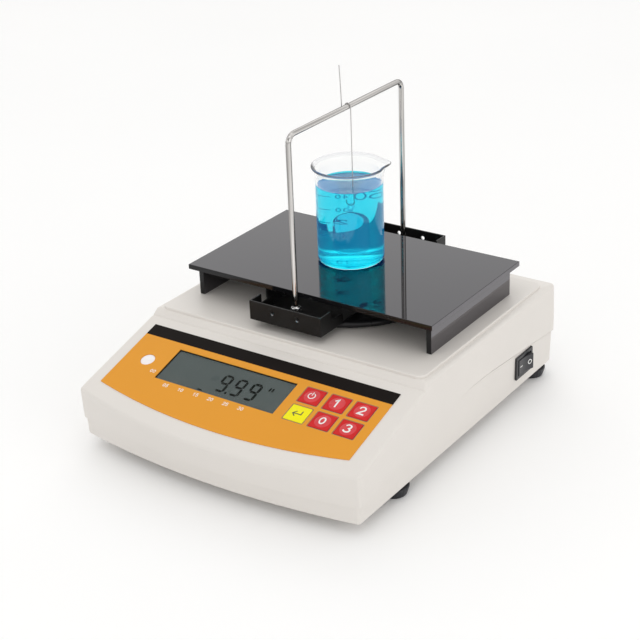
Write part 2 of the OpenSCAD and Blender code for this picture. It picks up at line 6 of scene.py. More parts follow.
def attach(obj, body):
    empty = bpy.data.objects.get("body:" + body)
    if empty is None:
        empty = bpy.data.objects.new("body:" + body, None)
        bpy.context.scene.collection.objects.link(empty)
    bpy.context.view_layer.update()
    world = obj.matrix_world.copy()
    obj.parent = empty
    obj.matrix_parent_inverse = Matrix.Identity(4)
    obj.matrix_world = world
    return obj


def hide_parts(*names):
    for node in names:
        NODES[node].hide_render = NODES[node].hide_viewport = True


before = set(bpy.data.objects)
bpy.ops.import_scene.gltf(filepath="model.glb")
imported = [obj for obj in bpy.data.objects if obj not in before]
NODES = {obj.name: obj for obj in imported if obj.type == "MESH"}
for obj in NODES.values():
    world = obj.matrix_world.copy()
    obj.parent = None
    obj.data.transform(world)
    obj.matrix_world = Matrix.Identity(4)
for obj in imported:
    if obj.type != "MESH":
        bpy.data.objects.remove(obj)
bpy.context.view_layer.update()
scene = bpy.context.scene

# --------------------------------------------------------------------------
# Sizes in millimetres, as in the CAD model
# --------------------------------------------------------------------------
SL = radians(16)
SY, SZ = -38.95, 58.14
PAN = (-2.4, 41.0)
BEAKER = (-4.9, 43.8)
BR, BH, BZ = 20.5, 59.9, 84.33
LIQ = 133.0
ROD_X, ROD_Y0, ROD_Y1, BAR_Z = -2.2, -19.76, 99.96, 182.45
HANG = (-0.18, 40.6)
EYE_R, EYE_Z = 2.2, 124.5
KEY_X = [39.7, 56.4, 72.9]
KEY_V = [-27.4, -42.25]
KEY_W, KEY_H = 12.9, 11.7
LCD = (-59.0, 26.1, -47.5, -21.3)
SPOT = (-72.9, -36.0)
FEET = [(-87.5, -57.7), (87.5, -57.7), (-87.5, 107), (87.5, 107)]
SCREWS = [(-84, -86), (84, -86), (-80, 92), (80, 92)]
SW_X, SW_Y, SW_Z, SW_P = 96.95, 77.5, 23.2, 94.2


def lerp(a, b, t):
    return a + (b - a) * t


def slope(u, v, w):
    """Panel coordinates to the row frame: u across, v up the slope, w out of it."""
    return (u, SY + v * cos(SL) - w * sin(SL), SZ + v * sin(SL) + w * cos(SL))


# --------------------------------------------------------------------------
# Materials
# --------------------------------------------------------------------------
def tree(name):
    m = bpy.data.materials.new(name)
    m.use_nodes = True
    return m, m.node_tree, m.node_tree.nodes["Principled BSDF"]


def add(nt, kind, **kw):
    n = nt.nodes.new(kind)
    for k, v in kw.items():
        setattr(n, k, v)
    return n


def coords(nt, scale=(1, 1, 1)):
    tc = add(nt, "ShaderNodeTexCoord")
    mp = add(nt, "ShaderNodeMapping")
    mp.inputs["Scale"].default_value = scale
    nt.links.new(tc.outputs["Object"], mp.inputs["Vector"])
    return mp.outputs["Vector"]


def noise(nt, vec, scale, detail=3.0, rough=0.5):
    n = add(nt, "ShaderNodeTexNoise")
    n.inputs["Scale"].default_value = scale
    n.inputs["Detail"].default_value = detail
    n.inputs["Roughness"].default_value = rough
    nt.links.new(vec, n.inputs["Vector"])
    return n.outputs["Fac"]


def spread(nt, fac, lo, hi, a=0.3, b=0.7):
    r = add(nt, "ShaderNodeMapRange")
    r.inputs["From Min"].default_value = a
    r.inputs["From Max"].default_value = b
    r.inputs["To Min"].default_value = lo
    r.inputs["To Max"].default_value = hi
    nt.links.new(fac, r.inputs["Value"])
    return r.outputs["Result"]


def two(nt, fac, c1, c2):
    x = add(nt, "ShaderNodeMix", data_type="RGBA")
    nt.links.new(fac, x.inputs["Factor"])
    x.inputs["A"].default_value = (*c1, 1)
    x.inputs["B"].default_value = (*c2, 1)
    return x.outputs["Result"]


def surface(name, color, rough=0.5, metal=0.0, ior=1.5, tint=0.02, tint_scale=40, rv=0.04,
            rv_scale=120, grain=0.0, grain_scale=1200, stretch=(1, 1, 1), coat=0.0,
            coat_rough=0.08, strength=1.0, waves=0.0, waves_scale=25, spec=0.5, edge=None):
    """An opaque finish: colour that drifts by tint (a little on most finishes, on the drawn steel far enough to paint
    reflection streaks), roughness that varies, grain as bump.
    """
    m, nt, b = tree(name)
    vec = coords(nt, stretch)
    c1 = tuple(max(0.0, min(1.0, c * (1 - tint))) for c in color)
    c2 = tuple(max(0.0, min(1.0, c * (1 + tint))) for c in color)
    nt.links.new(two(nt, spread(nt, noise(nt, vec, tint_scale), 0, 1), c1, c2), b.inputs["Base Color"])
    nt.links.new(spread(nt, noise(nt, vec, rv_scale, 4), max(0.0, rough - rv), rough + rv), b.inputs["Roughness"])
    b.inputs["Metallic"].default_value = metal
    b.inputs["IOR"].default_value = ior
    b.inputs["Specular IOR Level"].default_value = spec
    if edge is not None:
        b.inputs["Specular Tint"].default_value = (*edge, 1) if isinstance(edge, tuple) else (edge, edge, edge, 1)
    if coat:
        b.inputs["Coat Weight"].default_value = coat
        b.inputs["Coat Roughness"].default_value = coat_rough
    normal = None
    if grain:
        bp = add(nt, "ShaderNodeBump")
        bp.inputs["Distance"].default_value = grain
        bp.inputs["Strength"].default_value = strength
        nt.links.new(noise(nt, vec, grain_scale, 2), bp.inputs["Height"])
        normal = bp
    if waves:
        bq = add(nt, "ShaderNodeBump")
        bq.inputs["Distance"].default_value = waves
        bq.inputs["Strength"].default_value = 1.0
        nt.links.new(noise(nt, vec, waves_scale, 1), bq.inputs["Height"])
        if normal:
            nt.links.new(normal.outputs["Normal"], bq.inputs["Normal"])
        normal = bq
    if normal:
        nt.links.new(normal.outputs["Normal"], b.inputs["Normal"])
    return m


def clear(name, color, ior, rough=0.0, tint=0.01, waves=0.0, waves_scale=40, absorb=None, density=0.0, through=1.0,
          spec=0.5, body=None):
    """A see-through finish with a faint drift in its tint and surface; body, when given, is a painted glow: an emission
    colour that gives off light of its own.
    """
    m, nt, b = tree(name)
    vec = coords(nt)
    c1 = tuple(max(0.0, c * (1 - tint)) for c in color)
    nt.links.new(two(nt, spread(nt, noise(nt, vec, 60), 0, 1), c1, color), b.inputs["Base Color"])
    b.inputs["Roughness"].default_value = rough
    b.inputs["IOR"].default_value = ior
    b.inputs["Transmission Weight"].default_value = through
    # body is a painted glow, not a body colour: emission at strength 1, light given off though the material is no lamp
    if body:
        b.inputs["Emission Color"].default_value = (*body, 1)
        b.inputs["Emission Strength"].default_value = 1.0
    b.inputs["Specular IOR Level"].default_value = spec
    if waves:
        bp = add(nt, "ShaderNodeBump")
        bp.inputs["Distance"].default_value = waves
        nt.links.new(noise(nt, vec, waves_scale, 1), bp.inputs["Height"])
        nt.links.new(bp.outputs["Normal"], b.inputs["Normal"])
    if absorb:
        va = add(nt, "ShaderNodeVolumeAbsorption")
        va.inputs["Color"].default_value = (*absorb, 1)
        va.inputs["Density"].default_value = density
        out = next(n for n in nt.nodes if n.type == "OUTPUT_MATERIAL")
        nt.links.new(va.outputs["Volume"], out.inputs["Volume"])
    return m


M = {}
M["cream"] = surface("cream_abs", (0.755, 0.72, 0.68), rough=0.46, spec=0.35, tint=0.012, tint_scale=18, rv=0.05, rv_scale=90,
                     grain=0.00004, grain_scale=1500, strength=0.35)
M["orange"] = surface("overlay_orange", (0.77, 0.325, 0.030), rough=0.36, spec=0.12, tint=0.012, tint_scale=30, rv=0.03,
                      grain=0.000012, grain_scale=2600, strength=0.5)
M["strip"] = surface("overlay_black", (0.0085, 0.006, 0.005), rough=0.34, spec=0.045, tint=0.1, tint_scale=40, rv=0.03,
                     grain=0.000012, grain_scale=2600, strength=0.5)
M["print"] = surface("white_print", (0.86, 0.86, 0.84), rough=0.4, tint=0.02, tint_scale=300, rv=0.05, grain=0.000006,
                     grain_scale=3000)
M["line"] = surface("key_outline", (0.20, 0.17, 0.16), rough=0.4, tint=0.05, tint_scale=200, spec=0.1)
M["lcd"] = surface("lcd_face", (0.098, 0.117, 0.114), rough=0.3, spec=0.12, tint=0.04, tint_scale=25, rv=0.03, grain=0.000003,
                   grain_scale=5000)
M["segment"] = surface("lcd_segment", (0.006, 0.007, 0.006), rough=0.35, spec=0.05, tint=0.1, tint_scale=200, rv=0.03)
M["window"] = clear("window_clear", (0.97, 0.98, 0.98), 1.05, rough=0.02)
M["black"] = surface("black_moulding", (0.018, 0.018, 0.021), rough=0.38, tint=0.15, tint_scale=60, rv=0.06,
                     grain=0.00002, grain_scale=1800, strength=0.5)
M["rocker"] = surface("rocker_black", (0.024, 0.024, 0.028), rough=0.3, tint=0.12, tint_scale=80, rv=0.05,
                      grain=0.00001, grain_scale=1800, strength=0.5)
M["rubber"] = surface("foot_rubber", (0.017, 0.018, 0.023), rough=0.52, tint=0.2, tint_scale=90, rv=0.08,
                      grain=0.00004, grain_scale=900, strength=0.6)
M["red"] = surface("key_red", (0.62, 0.010, 0.010), rough=0.34, spec=0.2, tint=0.04, tint_scale=120, rv=0.04, grain=0.00001,
                   grain_scale=2600, strength=0.5)
M["pink"] = surface("key_dome_pink", (0.68, 0.055, 0.065), rough=0.3, spec=0.25, tint=0.10, tint_scale=160, rv=0.04,
                    grain=0.00001, grain_scale=2600, strength=0.5)
M["yellow"] = surface("key_yellow", (0.90, 0.84, 0.010), rough=0.34, spec=0.12, tint=0.03, tint_scale=120, rv=0.04,
                      grain=0.00001, grain_scale=2600, strength=0.5)
M["sign_dark"] = surface("sign_dark", (0.05, 0.06, 0.03), rough=0.4, tint=0.05, tint_scale=300)
M["level_white"] = surface("level_white", (0.90, 0.86, 0.86), rough=0.25, tint=0.02, tint_scale=200, rv=0.05)
# drawn steel: colour swings by over half with noise stretched along the rod, dark and light streaks round it; partly
# real drawn lines, in larger part painted reflection
M["steel"] = surface("stainless_drawn_lines_painted_reflection", (0.56, 0.545, 0.53), rough=0.12, metal=1.0, edge=0.1, tint=0.58, tint_scale=650,
                     rv=0.08, rv_scale=700, grain=0.000006, grain_scale=2500, stretch=(1, 1, 0.012))
M["steel_bar"] = surface("stainless_bar_drawn_lines_painted_reflection", (0.60, 0.585, 0.57), rough=0.12, metal=1.0, edge=0.1, tint=0.55,
                         tint_scale=650, rv=0.08, rv_scale=700, grain=0.000006, grain_scale=2500,
                         stretch=(1, 0.012, 1))
M["wire"] = surface("wire_stainless", (0.47, 0.46, 0.455), rough=0.3, metal=1.0, tint=0.05, tint_scale=900, rv=0.05)
M["polished"] = surface("polished_steel", (0.68, 0.67, 0.66), rough=0.14, metal=1.0, tint=0.03, tint_scale=120, rv=0.05,
                        rv_scale=300, grain=0.000003, grain_scale=3000)
M["spun"] = surface("spun_steel", (0.58, 0.58, 0.58), rough=0.3, metal=1.0, tint=0.05, tint_scale=60, rv=0.06,
                    rv_scale=500, grain=0.000006, grain_scale=2500)
M["zinc"] = surface("zinc_plate", (0.82, 0.82, 0.83), rough=0.27, metal=1.0, tint=0.06, tint_scale=500, rv=0.08,
                    rv_scale=600, grain=0.000006, grain_scale=3000)
M["aluminium"] = surface("machined_aluminium", (0.70, 0.71, 0.72), rough=0.36, metal=1.0, tint=0.04, tint_scale=90,
                         rv=0.07, grain=0.00001, grain_scale=900, stretch=(1, 12, 1))
M["brass"] = surface("turned_brass", (0.72, 0.50, 0.20), rough=0.28, metal=1.0, tint=0.06, tint_scale=300, rv=0.06)
M["acrylic"] = surface("black_acrylic", (0.0016, 0.0020, 0.0036), rough=0.012, ior=1.5, tint=0.2, tint_scale=8,
                       rv=0.008, rv_scale=30, edge=(0.93, 0.89, 0.99))
M["acrylic_edge"] = surface("black_acrylic_edge", (0.008, 0.008, 0.009), rough=0.12, ior=1.5, spec=0.3, tint=0.2, tint_scale=60,
                            rv=0.04, rv_scale=300, grain=0.00001, grain_scale=900, stretch=(1, 1, 6))
M["sheet"] = surface("black_powder_coat", (0.008, 0.008, 0.008), rough=0.34, spec=0.22, tint=0.2, tint_scale=60, rv=0.06,
                     grain=0.00003, grain_scale=1300, strength=0.6)
M["pan_black"] = surface("pan_enamel", (0.010, 0.010, 0.011), rough=0.3, tint=0.2, tint_scale=60, rv=0.05,
                         grain=0.00002, grain_scale=1300, spec=0.35)
M["liner"] = surface("display_liner_dark", (0.022, 0.023, 0.024), rough=0.45, tint=0.1, tint_scale=60, spec=0.15)
M["acrylic_leg"] = surface("black_acrylic_side", (0.0065, 0.0065, 0.0075), rough=0.02, ior=1.75, tint=0.2, tint_scale=8,
                           rv=0.01, rv_scale=30, spec=0.95, edge=(0.97, 0.93, 1.0))
M["board"] = surface("board_lacquer", (0.02, 0.16, 0.06), rough=0.3, tint=0.15, tint_scale=300, rv=0.06, coat=0.5)
M["chip"] = surface("component_bodies", (0.03, 0.03, 0.034), rough=0.5, tint=0.4, tint_scale=60, rv=0.08)
M["cable"] = surface("flat_cable", (0.36, 0.37, 0.40), rough=0.5, tint=0.12, tint_scale=900, stretch=(1, 0.02, 0.02))
M["tin"] = surface("connector_shell", (0.60, 0.60, 0.61), rough=0.3, metal=1.0, tint=0.05, tint_scale=200, rv=0.06)
M["enamel"] = surface("graduation_enamel", (0.12, 0.36, 0.50), rough=0.4, tint=0.05, tint_scale=300)
M["glass"] = clear("borosilicate", (0.985, 0.995, 0.995), 1.30, rough=0.0, waves=0.00002, waves_scale=50)
# rim glass: a lighter copy of the borosilicate, lower IOR and a share of whitish diffuse; painted light that makes the
# rim read light grey
M["rim"] = clear("borosilicate_rim_painted_light", (0.935, 0.94, 0.955), 1.19, rough=0.0, through=0.88)
M["plummet"] = clear("plummet_glass", (0.60, 0.81, 0.93), 1.034, rough=0.0, through=0.96)
M["bore"] = surface("punched_edge", (0.34, 0.34, 0.35), rough=0.36, metal=1.0, tint=0.06, tint_scale=500, rv=0.08,
                    rv_scale=600, grain=0.000006, grain_scale=3000)
M["vial"] = clear("vial_clear", (0.97, 0.97, 0.95), 1.2, rough=0.02)
# the sample's body (0.0, 0.03, 0.11) is a painted glow: a faint blue emission that brightens the liquid from inside
M["liquid"] = clear("blue_sample_with_painted_glow", (0.09, 0.84, 0.80), 1.333, rough=0.0, absorb=(0.03, 0.94, 0.99), density=60.0,
                     through=0.90, body=(0.0, 0.03, 0.11))


# --------------------------------------------------------------------------
# Mesh helpers (all lengths given in millimetres)
# --------------------------------------------------------------------------
def mesh_obj(name, verts, faces, mats, face_mats=None, angle=35, merge=1e-7, flip_up=False):
    me = bpy.data.meshes.new(name)
    me.from_pydata([Vector(v) * 0.001 for v in verts], [], faces)
    for m in (mats if isinstance(mats, (list, tuple)) else [mats]):
        me.materials.append(M[m] if isinstance(m, str) else m)
    if face_mats:
        me.polygons.foreach_set("material_index", face_mats)
    bm = bmesh.new()
    bm.from_mesh(me)
    if merge:
        bmesh.ops.remove_doubles(bm, verts=bm.verts, dist=merge)
        bmesh.ops.dissolve_degenerate(bm, edges=bm.edges, dist=merge)
    bmesh.ops.recalc_face_normals(bm, faces=bm.faces)
    bm.to_mesh(me)
    bm.free()
    return finish_mesh(name, me, angle)


def finish_mesh(name, me, angle=35):
    me.polygons.foreach_set("use_smooth", [True] * len(me.polygons))
    me.set_sharp_from_angle(angle=radians(angle))
    ob = bpy.data.objects.new(name, me)
    scene.collection.objects.link(ob)
    return ob


def put(ob, body, slot=None, *replaced):
    md = ob.modifiers.new("flat", "WEIGHTED_NORMAL")
    md.weight = 90
    md.keep_sharp = True
    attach(ob, body)
    if replaced:
        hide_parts(*replaced)
    return ob


def apply_mods(ob, angle=35):
    """Bakes an object's modifiers into its mesh."""
    dg = bpy.context.evaluated_depsgraph_get()
    me = bpy.data.meshes.new_from_object(ob.evaluated_get(dg))
    old = ob.data
    ob.modifiers.clear()
    ob.data = me
    me.name = ob.name
    bpy.data.meshes.remove(old)
    me.polygons.foreach_set("use_smooth", [True] * len(me.polygons))
    me.set_sharp_from_angle(angle=radians(angle))
    return ob


def cut(ob, tools, op="DIFFERENCE", angle=35):
    for t in tools:
        md = ob.modifiers.new("b", "BOOLEAN")
        md.operation = op
        md.solver = "EXACT"
        md.object = t
    apply_mods(ob, angle)
    for t in tools:
        me = t.data
        bpy.data.objects.remove(t)
        bpy.data.meshes.remove(me)
    return ob


def soften(ob, width, segments=3, limit=30, angle=35):
    md = ob.modifiers.new("bevel", "BEVEL")
    md.width = width * 0.001
    md.segments = segments
    md.limit_method = "ANGLE"
    md.angle_limit = radians(limit)
    md.use_clamp_overlap = True
    md.miter_outer = "MITER_ARC"
    apply_mods(ob, angle)
    return ob


def join(name, obs, angle=None):
    """Joins objects' meshes into the first; keeps their materials."""
    mats, verts, faces, fm, smooth = [], [], [], [], []
    for o in obs:
        base = len(verts)
        verts += [tuple(v.co) for v in o.data.vertices]
        idx = []
        for m in o.data.materials:
            if m not in mats:
                mats.append(m)
            idx.append(mats.index(m))
        for p in o.data.polygons:
            faces.append([base + i for i in p.vertices])
            fm.append(idx[p.material_index] if idx else 0)
    me = bpy.data.meshes.new(name)
    me.from_pydata(verts, [], faces)
    for m in mats:
        me.materials.append(m)
    me.polygons.foreach_set("material_index", fm)
    for o in obs:
        old = o.data
        bpy.data.objects.remove(o)
        bpy.data.meshes.remove(old)
    return finish_mesh(name, me, angle or 35)


def lathe(name, prof, mat, c=(0, 0), n=64, angle=35, axis="z", lobes=None):
    """Closed solid of revolution; prof is (r, z) from axis to axis, or a closed ring."""
    verts, faces = [], []
    ring = prof[0][0] > 1e-6 and prof[-1][0] > 1e-6
    rows = []
    for r, z in prof:
        if r <= 1e-6:
            rows.append([len(verts)])
            verts.append((0, 0, z))
        else:
            rows.append(list(range(len(verts), len(verts) + n)))
            for k in range(n):
                a = 2 * pi * k / n
                q = r * (1 + (lobes(a, r, z) if lobes else 0))
                verts.append((q * cos(a), q * sin(a), z))
    pairs = list(zip(rows, rows[1:])) + ([(rows[-1], rows[0])] if ring else [])
    for a, b in pairs:
        for k in range(n):
            k2 = (k + 1) % n
            if len(a) == 1 and len(b) == 1:
                continue
            if len(a) == 1:
                faces.append((a[0], b[k], b[k2]))
            elif len(b) == 1:
                faces.append((a[k], a[k2], b[0]))
            else:
                faces.append((a[k], a[k2], b[k2], b[k]))
    out = []
    for x, y, z in verts:
        if axis == "z":
            out.append((x + c[0], y + c[1], z))
        elif axis == "y":   # profile height runs along +Y, c = (x, z)
            out.append((x + c[0], z, y + c[1]))
        elif axis == "x":
            out.append((z, x + c[0], y + c[1]))
    return mesh_obj(name, out, faces, mat, angle=angle)


def frames(path, closed=False, n0=None):
    pts = [Vector(p) for p in path]
    m = len(pts)
    tans = []
    for i in range(m):
        a = pts[(i - 1) % m] if closed or i > 0 else pts[0]
        b = pts[(i + 1) % m] if closed or i < m - 1 else pts[-1]
        tans.append((b - a).normalized())
    n = Vector(n0) if n0 else tans[0].orthogonal()
    out = []
    for p, t in zip(pts, tans):
        n = (n - t * n.dot(t)).normalized()
        out.append((p, t, n, t.cross(n)))
    return out


def tube(name, path, r, mat, n=12, closed=False, angle=40, radii=None, n0=None, round_ends=False):
    fr = frames(path, closed, n0)
    verts, faces = [], []
    m = len(fr)
    for i, (p, t, a, b) in enumerate(fr):
        q = radii[i] if radii else r
        for k in range(n):
            w = 2 * pi * k / n
            verts.append(tuple(p + a * (q * cos(w)) + b * (q * sin(w))))
    for i in range(m if closed else m - 1):
        j = (i + 1) % m
        for k in range(n):
            k2 = (k + 1) % n
            faces.append((i * n + k, j * n + k, j * n + k2, i * n + k2))
    if not closed:
        for i, s in ((0, -1), (m - 1, 1)):
            p, t, a, b = fr[i]
            q = radii[i] if radii else r
            prev = [i * n + k for k in range(n)]
            if round_ends:
                for h in (0.4, 0.75, 0.93):
                    base = len(verts)
                    qq = q * sqrt(1 - h * h)
                    for k in range(n):
                        w = 2 * pi * k / n
                        verts.append(tuple(p + t * (s * q * h) + a * (qq * cos(w)) + b * (qq * sin(w))))
                    cur = list(range(base, base + n))
                    for k in range(n):
                        k2 = (k + 1) % n
                        faces.append((prev[k], prev[k2], cur[k2], cur[k]))
                    prev = cur
            faces.append(tuple(prev))
    return mesh_obj(name, verts, faces, mat, angle=angle)


def box(name, x0, x1, y0, y1, z0, z1, mat, place=None):
    v = [(x, y, z) for z in (z0, z1) for y in (y0, y1) for x in (x0, x1)]
    if place:
        v = [place(*p) for p in v]
    f = [(0, 2, 3, 1), (4, 5, 7, 6), (0, 1, 5, 4), (2, 6, 7, 3), (0, 4, 6, 2), (1, 3, 7, 5)]
    return mesh_obj(name, v, f, mat)


def prism(name, poly, h0, h1, mat, place=lambda a, b, h: (a, b, h), angle=35):
    n = len(poly)
    v = [place(a, b, h0) for a, b in poly] + [place(a, b, h1) for a, b in poly]
    f = [tuple(range(n - 1, -1, -1)), tuple(range(n, 2 * n))]
    f += [(i, (i + 1) % n, n + (i + 1) % n, n + i) for i in range(n)]
    return mesh_obj(name, v, f, mat, angle=angle)


def rrect(x0, x1, y0, y1, r, n=6):
    out = []
    for cx, cy, a0 in ((x1 - r, y1 - r, 0), (x0 + r, y1 - r, 90), (x0 + r, y0 + r, 180), (x1 - r, y0 + r, 270)):
        for k in range(n + 1):
            a = radians(a0 + 90 * k / n)
            out.append((cx + r * cos(a), cy + r * sin(a)))
    return out


def pad(name, poly, h0, h1, r, mat, place=lambda a, b, h: (a, b, h), seg=4, both=False, crown=None, angle=30):
    """Prism of a convex outline whose top edge (and bottom edge) is rounded by r."""
    n = len(poly)
    cx = sum(p[0] for p in poly) / n
    cy = sum(p[1] for p in poly) / n
    nrm = []
    for i in range(n):
        a, b, c = poly[i - 1], poly[i], poly[(i + 1) % n]
        e1 = (b[0] - a[0], b[1] - a[1])
        e2 = (c[0] - b[0], c[1] - b[1])
        l1, l2 = hypot(*e1) or 1, hypot(*e2) or 1
        n1 = (e1[1] / l1, -e1[0] / l1)
        n2 = (e2[1] / l2, -e2[0] / l2)
        s = (n1[0] + n2[0], n1[1] + n2[1])
        k = 2 / max(s[0] ** 2 + s[1] ** 2, 0.5)
        nrm.append((s[0] * k, s[1] * k))
    area = sum(poly[i - 1][0] * poly[i][1] - poly[i][0] * poly[i - 1][1] for i in range(n))
    sg = 1 if area > 0 else -1
    loops = []
    if both:
        for k in range(seg + 1):
            t = pi / 2 * k / seg
            loops.append((r * (1 - sin(t)), h0 + r * (1 - cos(t))))
    else:
        loops.append((0, h0))
    for k in range(seg + 1):
        t = pi / 2 * k / seg
        loops.append((r * (1 - cos(t)), h1 - r * (1 - sin(t))))
    verts, faces = [], []
    for d, h in loops:
        for (x, y), (a, b) in zip(poly, nrm):
            verts.append((x - sg * a * d, y - sg * b * d, h))
    L = len(loops)
    for j in range(L - 1):
        for i in range(n):
            i2 = (i + 1) % n
            faces.append((j * n + i, j * n + i2, (j + 1) * n + i2, (j + 1) * n + i))
    faces.append(tuple(range(n - 1, -1, -1)))
    if crown:
        # fan of rings up to a raised middle
        prev = [(L - 1) * n + i for i in range(n)]
        steps = 5
        edge = [verts[i] for i in prev]
        for s in range(1, steps):
            t = s / steps
            base = len(verts)
            for x, y, h in edge:
                verts.append((lerp(x, cx, t), lerp(y, cy, t), h + crown * (1 - (1 - t) ** 2)))
            cur = list(range(base, base + n))
            for i in range(n):
                i2 = (i + 1) % n
                faces.append((prev[i], prev[i2], cur[i2], cur[i]))
            prev = cur
        verts.append((cx, cy, edge[0][2] + crown))
        for i in range(n):
            faces.append((prev[i], prev[(i + 1) % n], len(verts) - 1))
    else:
        faces.append(tuple((L - 1) * n + i for i in range(n)))
    verts = [place(*v) for v in verts]
    return mesh_obj(name, verts, faces, mat, angle=angle)


def ribbon(line, width, h, place, closed=False, z0=0.0):
    """Verts and faces of a flat raised stroke along a 2-D polyline."""
    pts = [Vector((p[0], p[1])) for p in line]
    m = len(pts)
    L, R = [], []
    for i in range(m):
        a = pts[(i - 1) % m] if (closed or i > 0) else None
        c = pts[(i + 1) % m] if (closed or i < m - 1) else None
        p = pts[i]
        d1 = (p - a).normalized() if a is not None else (c - p).normalized()
        d2 = (c - p).normalized() if c is not None else d1
        n1, n2 = Vector((-d1.y, d1.x)), Vector((-d2.y, d2.x))
        s = n1 + n2
        s = n1 if s.length < 1e-6 else s * (2 / max(s.length_squared, 0.8)) * 1.0
        s = s * 0.5 if False else s
        off = s * (width / 2)
        ext = Vector((0, 0))
        if a is None:
            ext = -d2 * width / 2
        if c is None:
            ext = d1 * width / 2
        L.append(p + off + ext)
        R.append(p - off + ext)
    verts, faces = [], []
    for (a, b) in zip(L, R):
        for q, w in ((a, z0), (b, z0), (a, z0 + h), (b, z0 + h)):
            verts.append(place(q.x, q.y, w))
    for i in range(m if closed else m - 1):
        j = (i + 1) % m
        A, B = 4 * i, 4 * j
        faces += [(A + 2, A + 3, B + 3, B + 2), (A, B, B + 1, A + 1), (A, A + 2, B + 2, B), (A + 1, B + 1, B + 3, A + 3)]
    if not closed:
        faces += [(0, 1, 3, 2), (4 * m - 4, 4 * m - 2, 4 * m - 1, 4 * m - 3)]
    return verts, faces


def strokes(name, items, mat, angle=35):
    """items: (polyline, width, thickness, place, closed, base)."""
    verts, faces = [], []
    for line, width, h, place, closed, z0 in items:
        v, f = ribbon(line, width, h, place, closed, z0)
        b = len(verts)
        verts += v
        faces += [tuple(b + i for i in q) for q in f]
    return mesh_obj(name, verts, faces, mat, angle=angle, merge=None)


def arc(cx, cy, rx, ry, a0, a1, n=14):
    return [(cx + rx * cos(radians(lerp(a0, a1, k / n))), cy + ry * sin(radians(lerp(a0, a1, k / n))))
            for k in range(n + 1)]


def dense(line, step=0.35):
    out = [line[0]]
    for a, b in zip(line, line[1:]):
        k = max(1, int(hypot(b[0] - a[0], b[1] - a[1]) / step))
        out += [(lerp(a[0], b[0], i / k), lerp(a[1], b[1], i / k)) for i in range(1, k + 1)]
    return out


# plain figures in a box 0.64 wide and 1 high, as centre lines
FIG = {
    "0": [(arc(0.32, 0.5, 0.30, 0.5, 90, 450, 28)[:-1], True)],
    "1": [([(0.12, 0.76), (0.36, 1.0), (0.36, 0.0)], False)],
    "2": [(arc(0.32, 0.70, 0.28, 0.30, 165, -35, 14) + [(0.04, 0.0), (0.62, 0.0)], False)],
    "3": [(arc(0.30, 0.74, 0.27, 0.26, 150, -85, 12) + arc(0.30, 0.26, 0.31, 0.26, 80, -150, 14)[1:], False)],
    "4": [([(0.48, 0.0), (0.48, 1.0), (0.02, 0.3), (0.64, 0.3)], False)],
    "5": [([(0.58, 1.0), (0.12, 1.0), (0.07, 0.56)] + arc(0.29, 0.32, 0.31, 0.32, 125, -140, 14), False)],
    "6": [(arc(0.33, 0.31, 0.29, 0.31, 160, -200, 22), False), ([(0.05, 0.42), (0.20, 0.78), (0.46, 1.0)], False)],
}


def figure(ch, u, v, size, width, h, place, z0, wide=1.0):
    items = []
    for line, closed in FIG[ch]:
        pts = [(u + (p[0] - 0.32) * size * wide, v + (p[1] - 0.5) * size) for p in line]
        items.append((pts if closed else dense(pts, size * 0.08), width, h, place, closed, z0))
    return items


# --------------------------------------------------------------------------
# Casing shells
# --------------------------------------------------------------------------
COVER_T = [(16, 97.9, -116.8, -106.7, 119.1), (38.5, 97.9, -120.6, -107.5, 119.5), (66, 97.0, -120.6, -107.5, 119.6)]
TRAY_T = [(7.4, 96.35, -114.4, -105.8, 117.7), (39.99, 97.1, -121.0, -107.0, 118.6)]
SEAM = [(-140, 18.2), (-109, 18.8), (-84, 22.4), (-24, 30.6), (-10, 33.6), (2, 36.2), (14, 36.8), (36, 36.2), (130, 28)]
TOPP = [(-140, SZ - (140 + SY) * tan(SL)), (SY, SZ), (-36.4, 60.6), (-34.8, 61.7), (110, 61.7), (119.7, 60.3), (140, 57.4)]


def interp(tab, x):
    if x <= tab[0][0]:
        return tab[0][1]
    for (a, p), (b, q) in zip(tab, tab[1:]):
        if x <= b:
            return lerp(p, q, (x - a) / (b - a))
    return tab[-1][1]


def smooth(tab, x, w):
    k = [-1, -0.6, -0.25, 0, 0.25, 0.6, 1]
    g = [1, 2, 3, 3, 3, 2, 1]
    return sum(gg * interp(tab, x + w * kk) for kk, gg in zip(k, g)) / sum(g)


def seam(y):
    return smooth(SEAM, y, 5.0)


def topz(y):
    return smooth(TOPP, y, 0.45) - 0.42 * math.exp(-((y + 39.1) / 0.42) ** 2)


def shape_at(tab, z):
    z = min(max(z, tab[0][0]), tab[-1][0])
    for a, b in zip(tab, tab[1:]):
        if z <= b[0]:
            t = (z - a[0]) / (b[0] - a[0])
            return [lerp(p, q, t) for p, q in zip(a[1:], b[1:])]
    return list(tab[-1][1:])


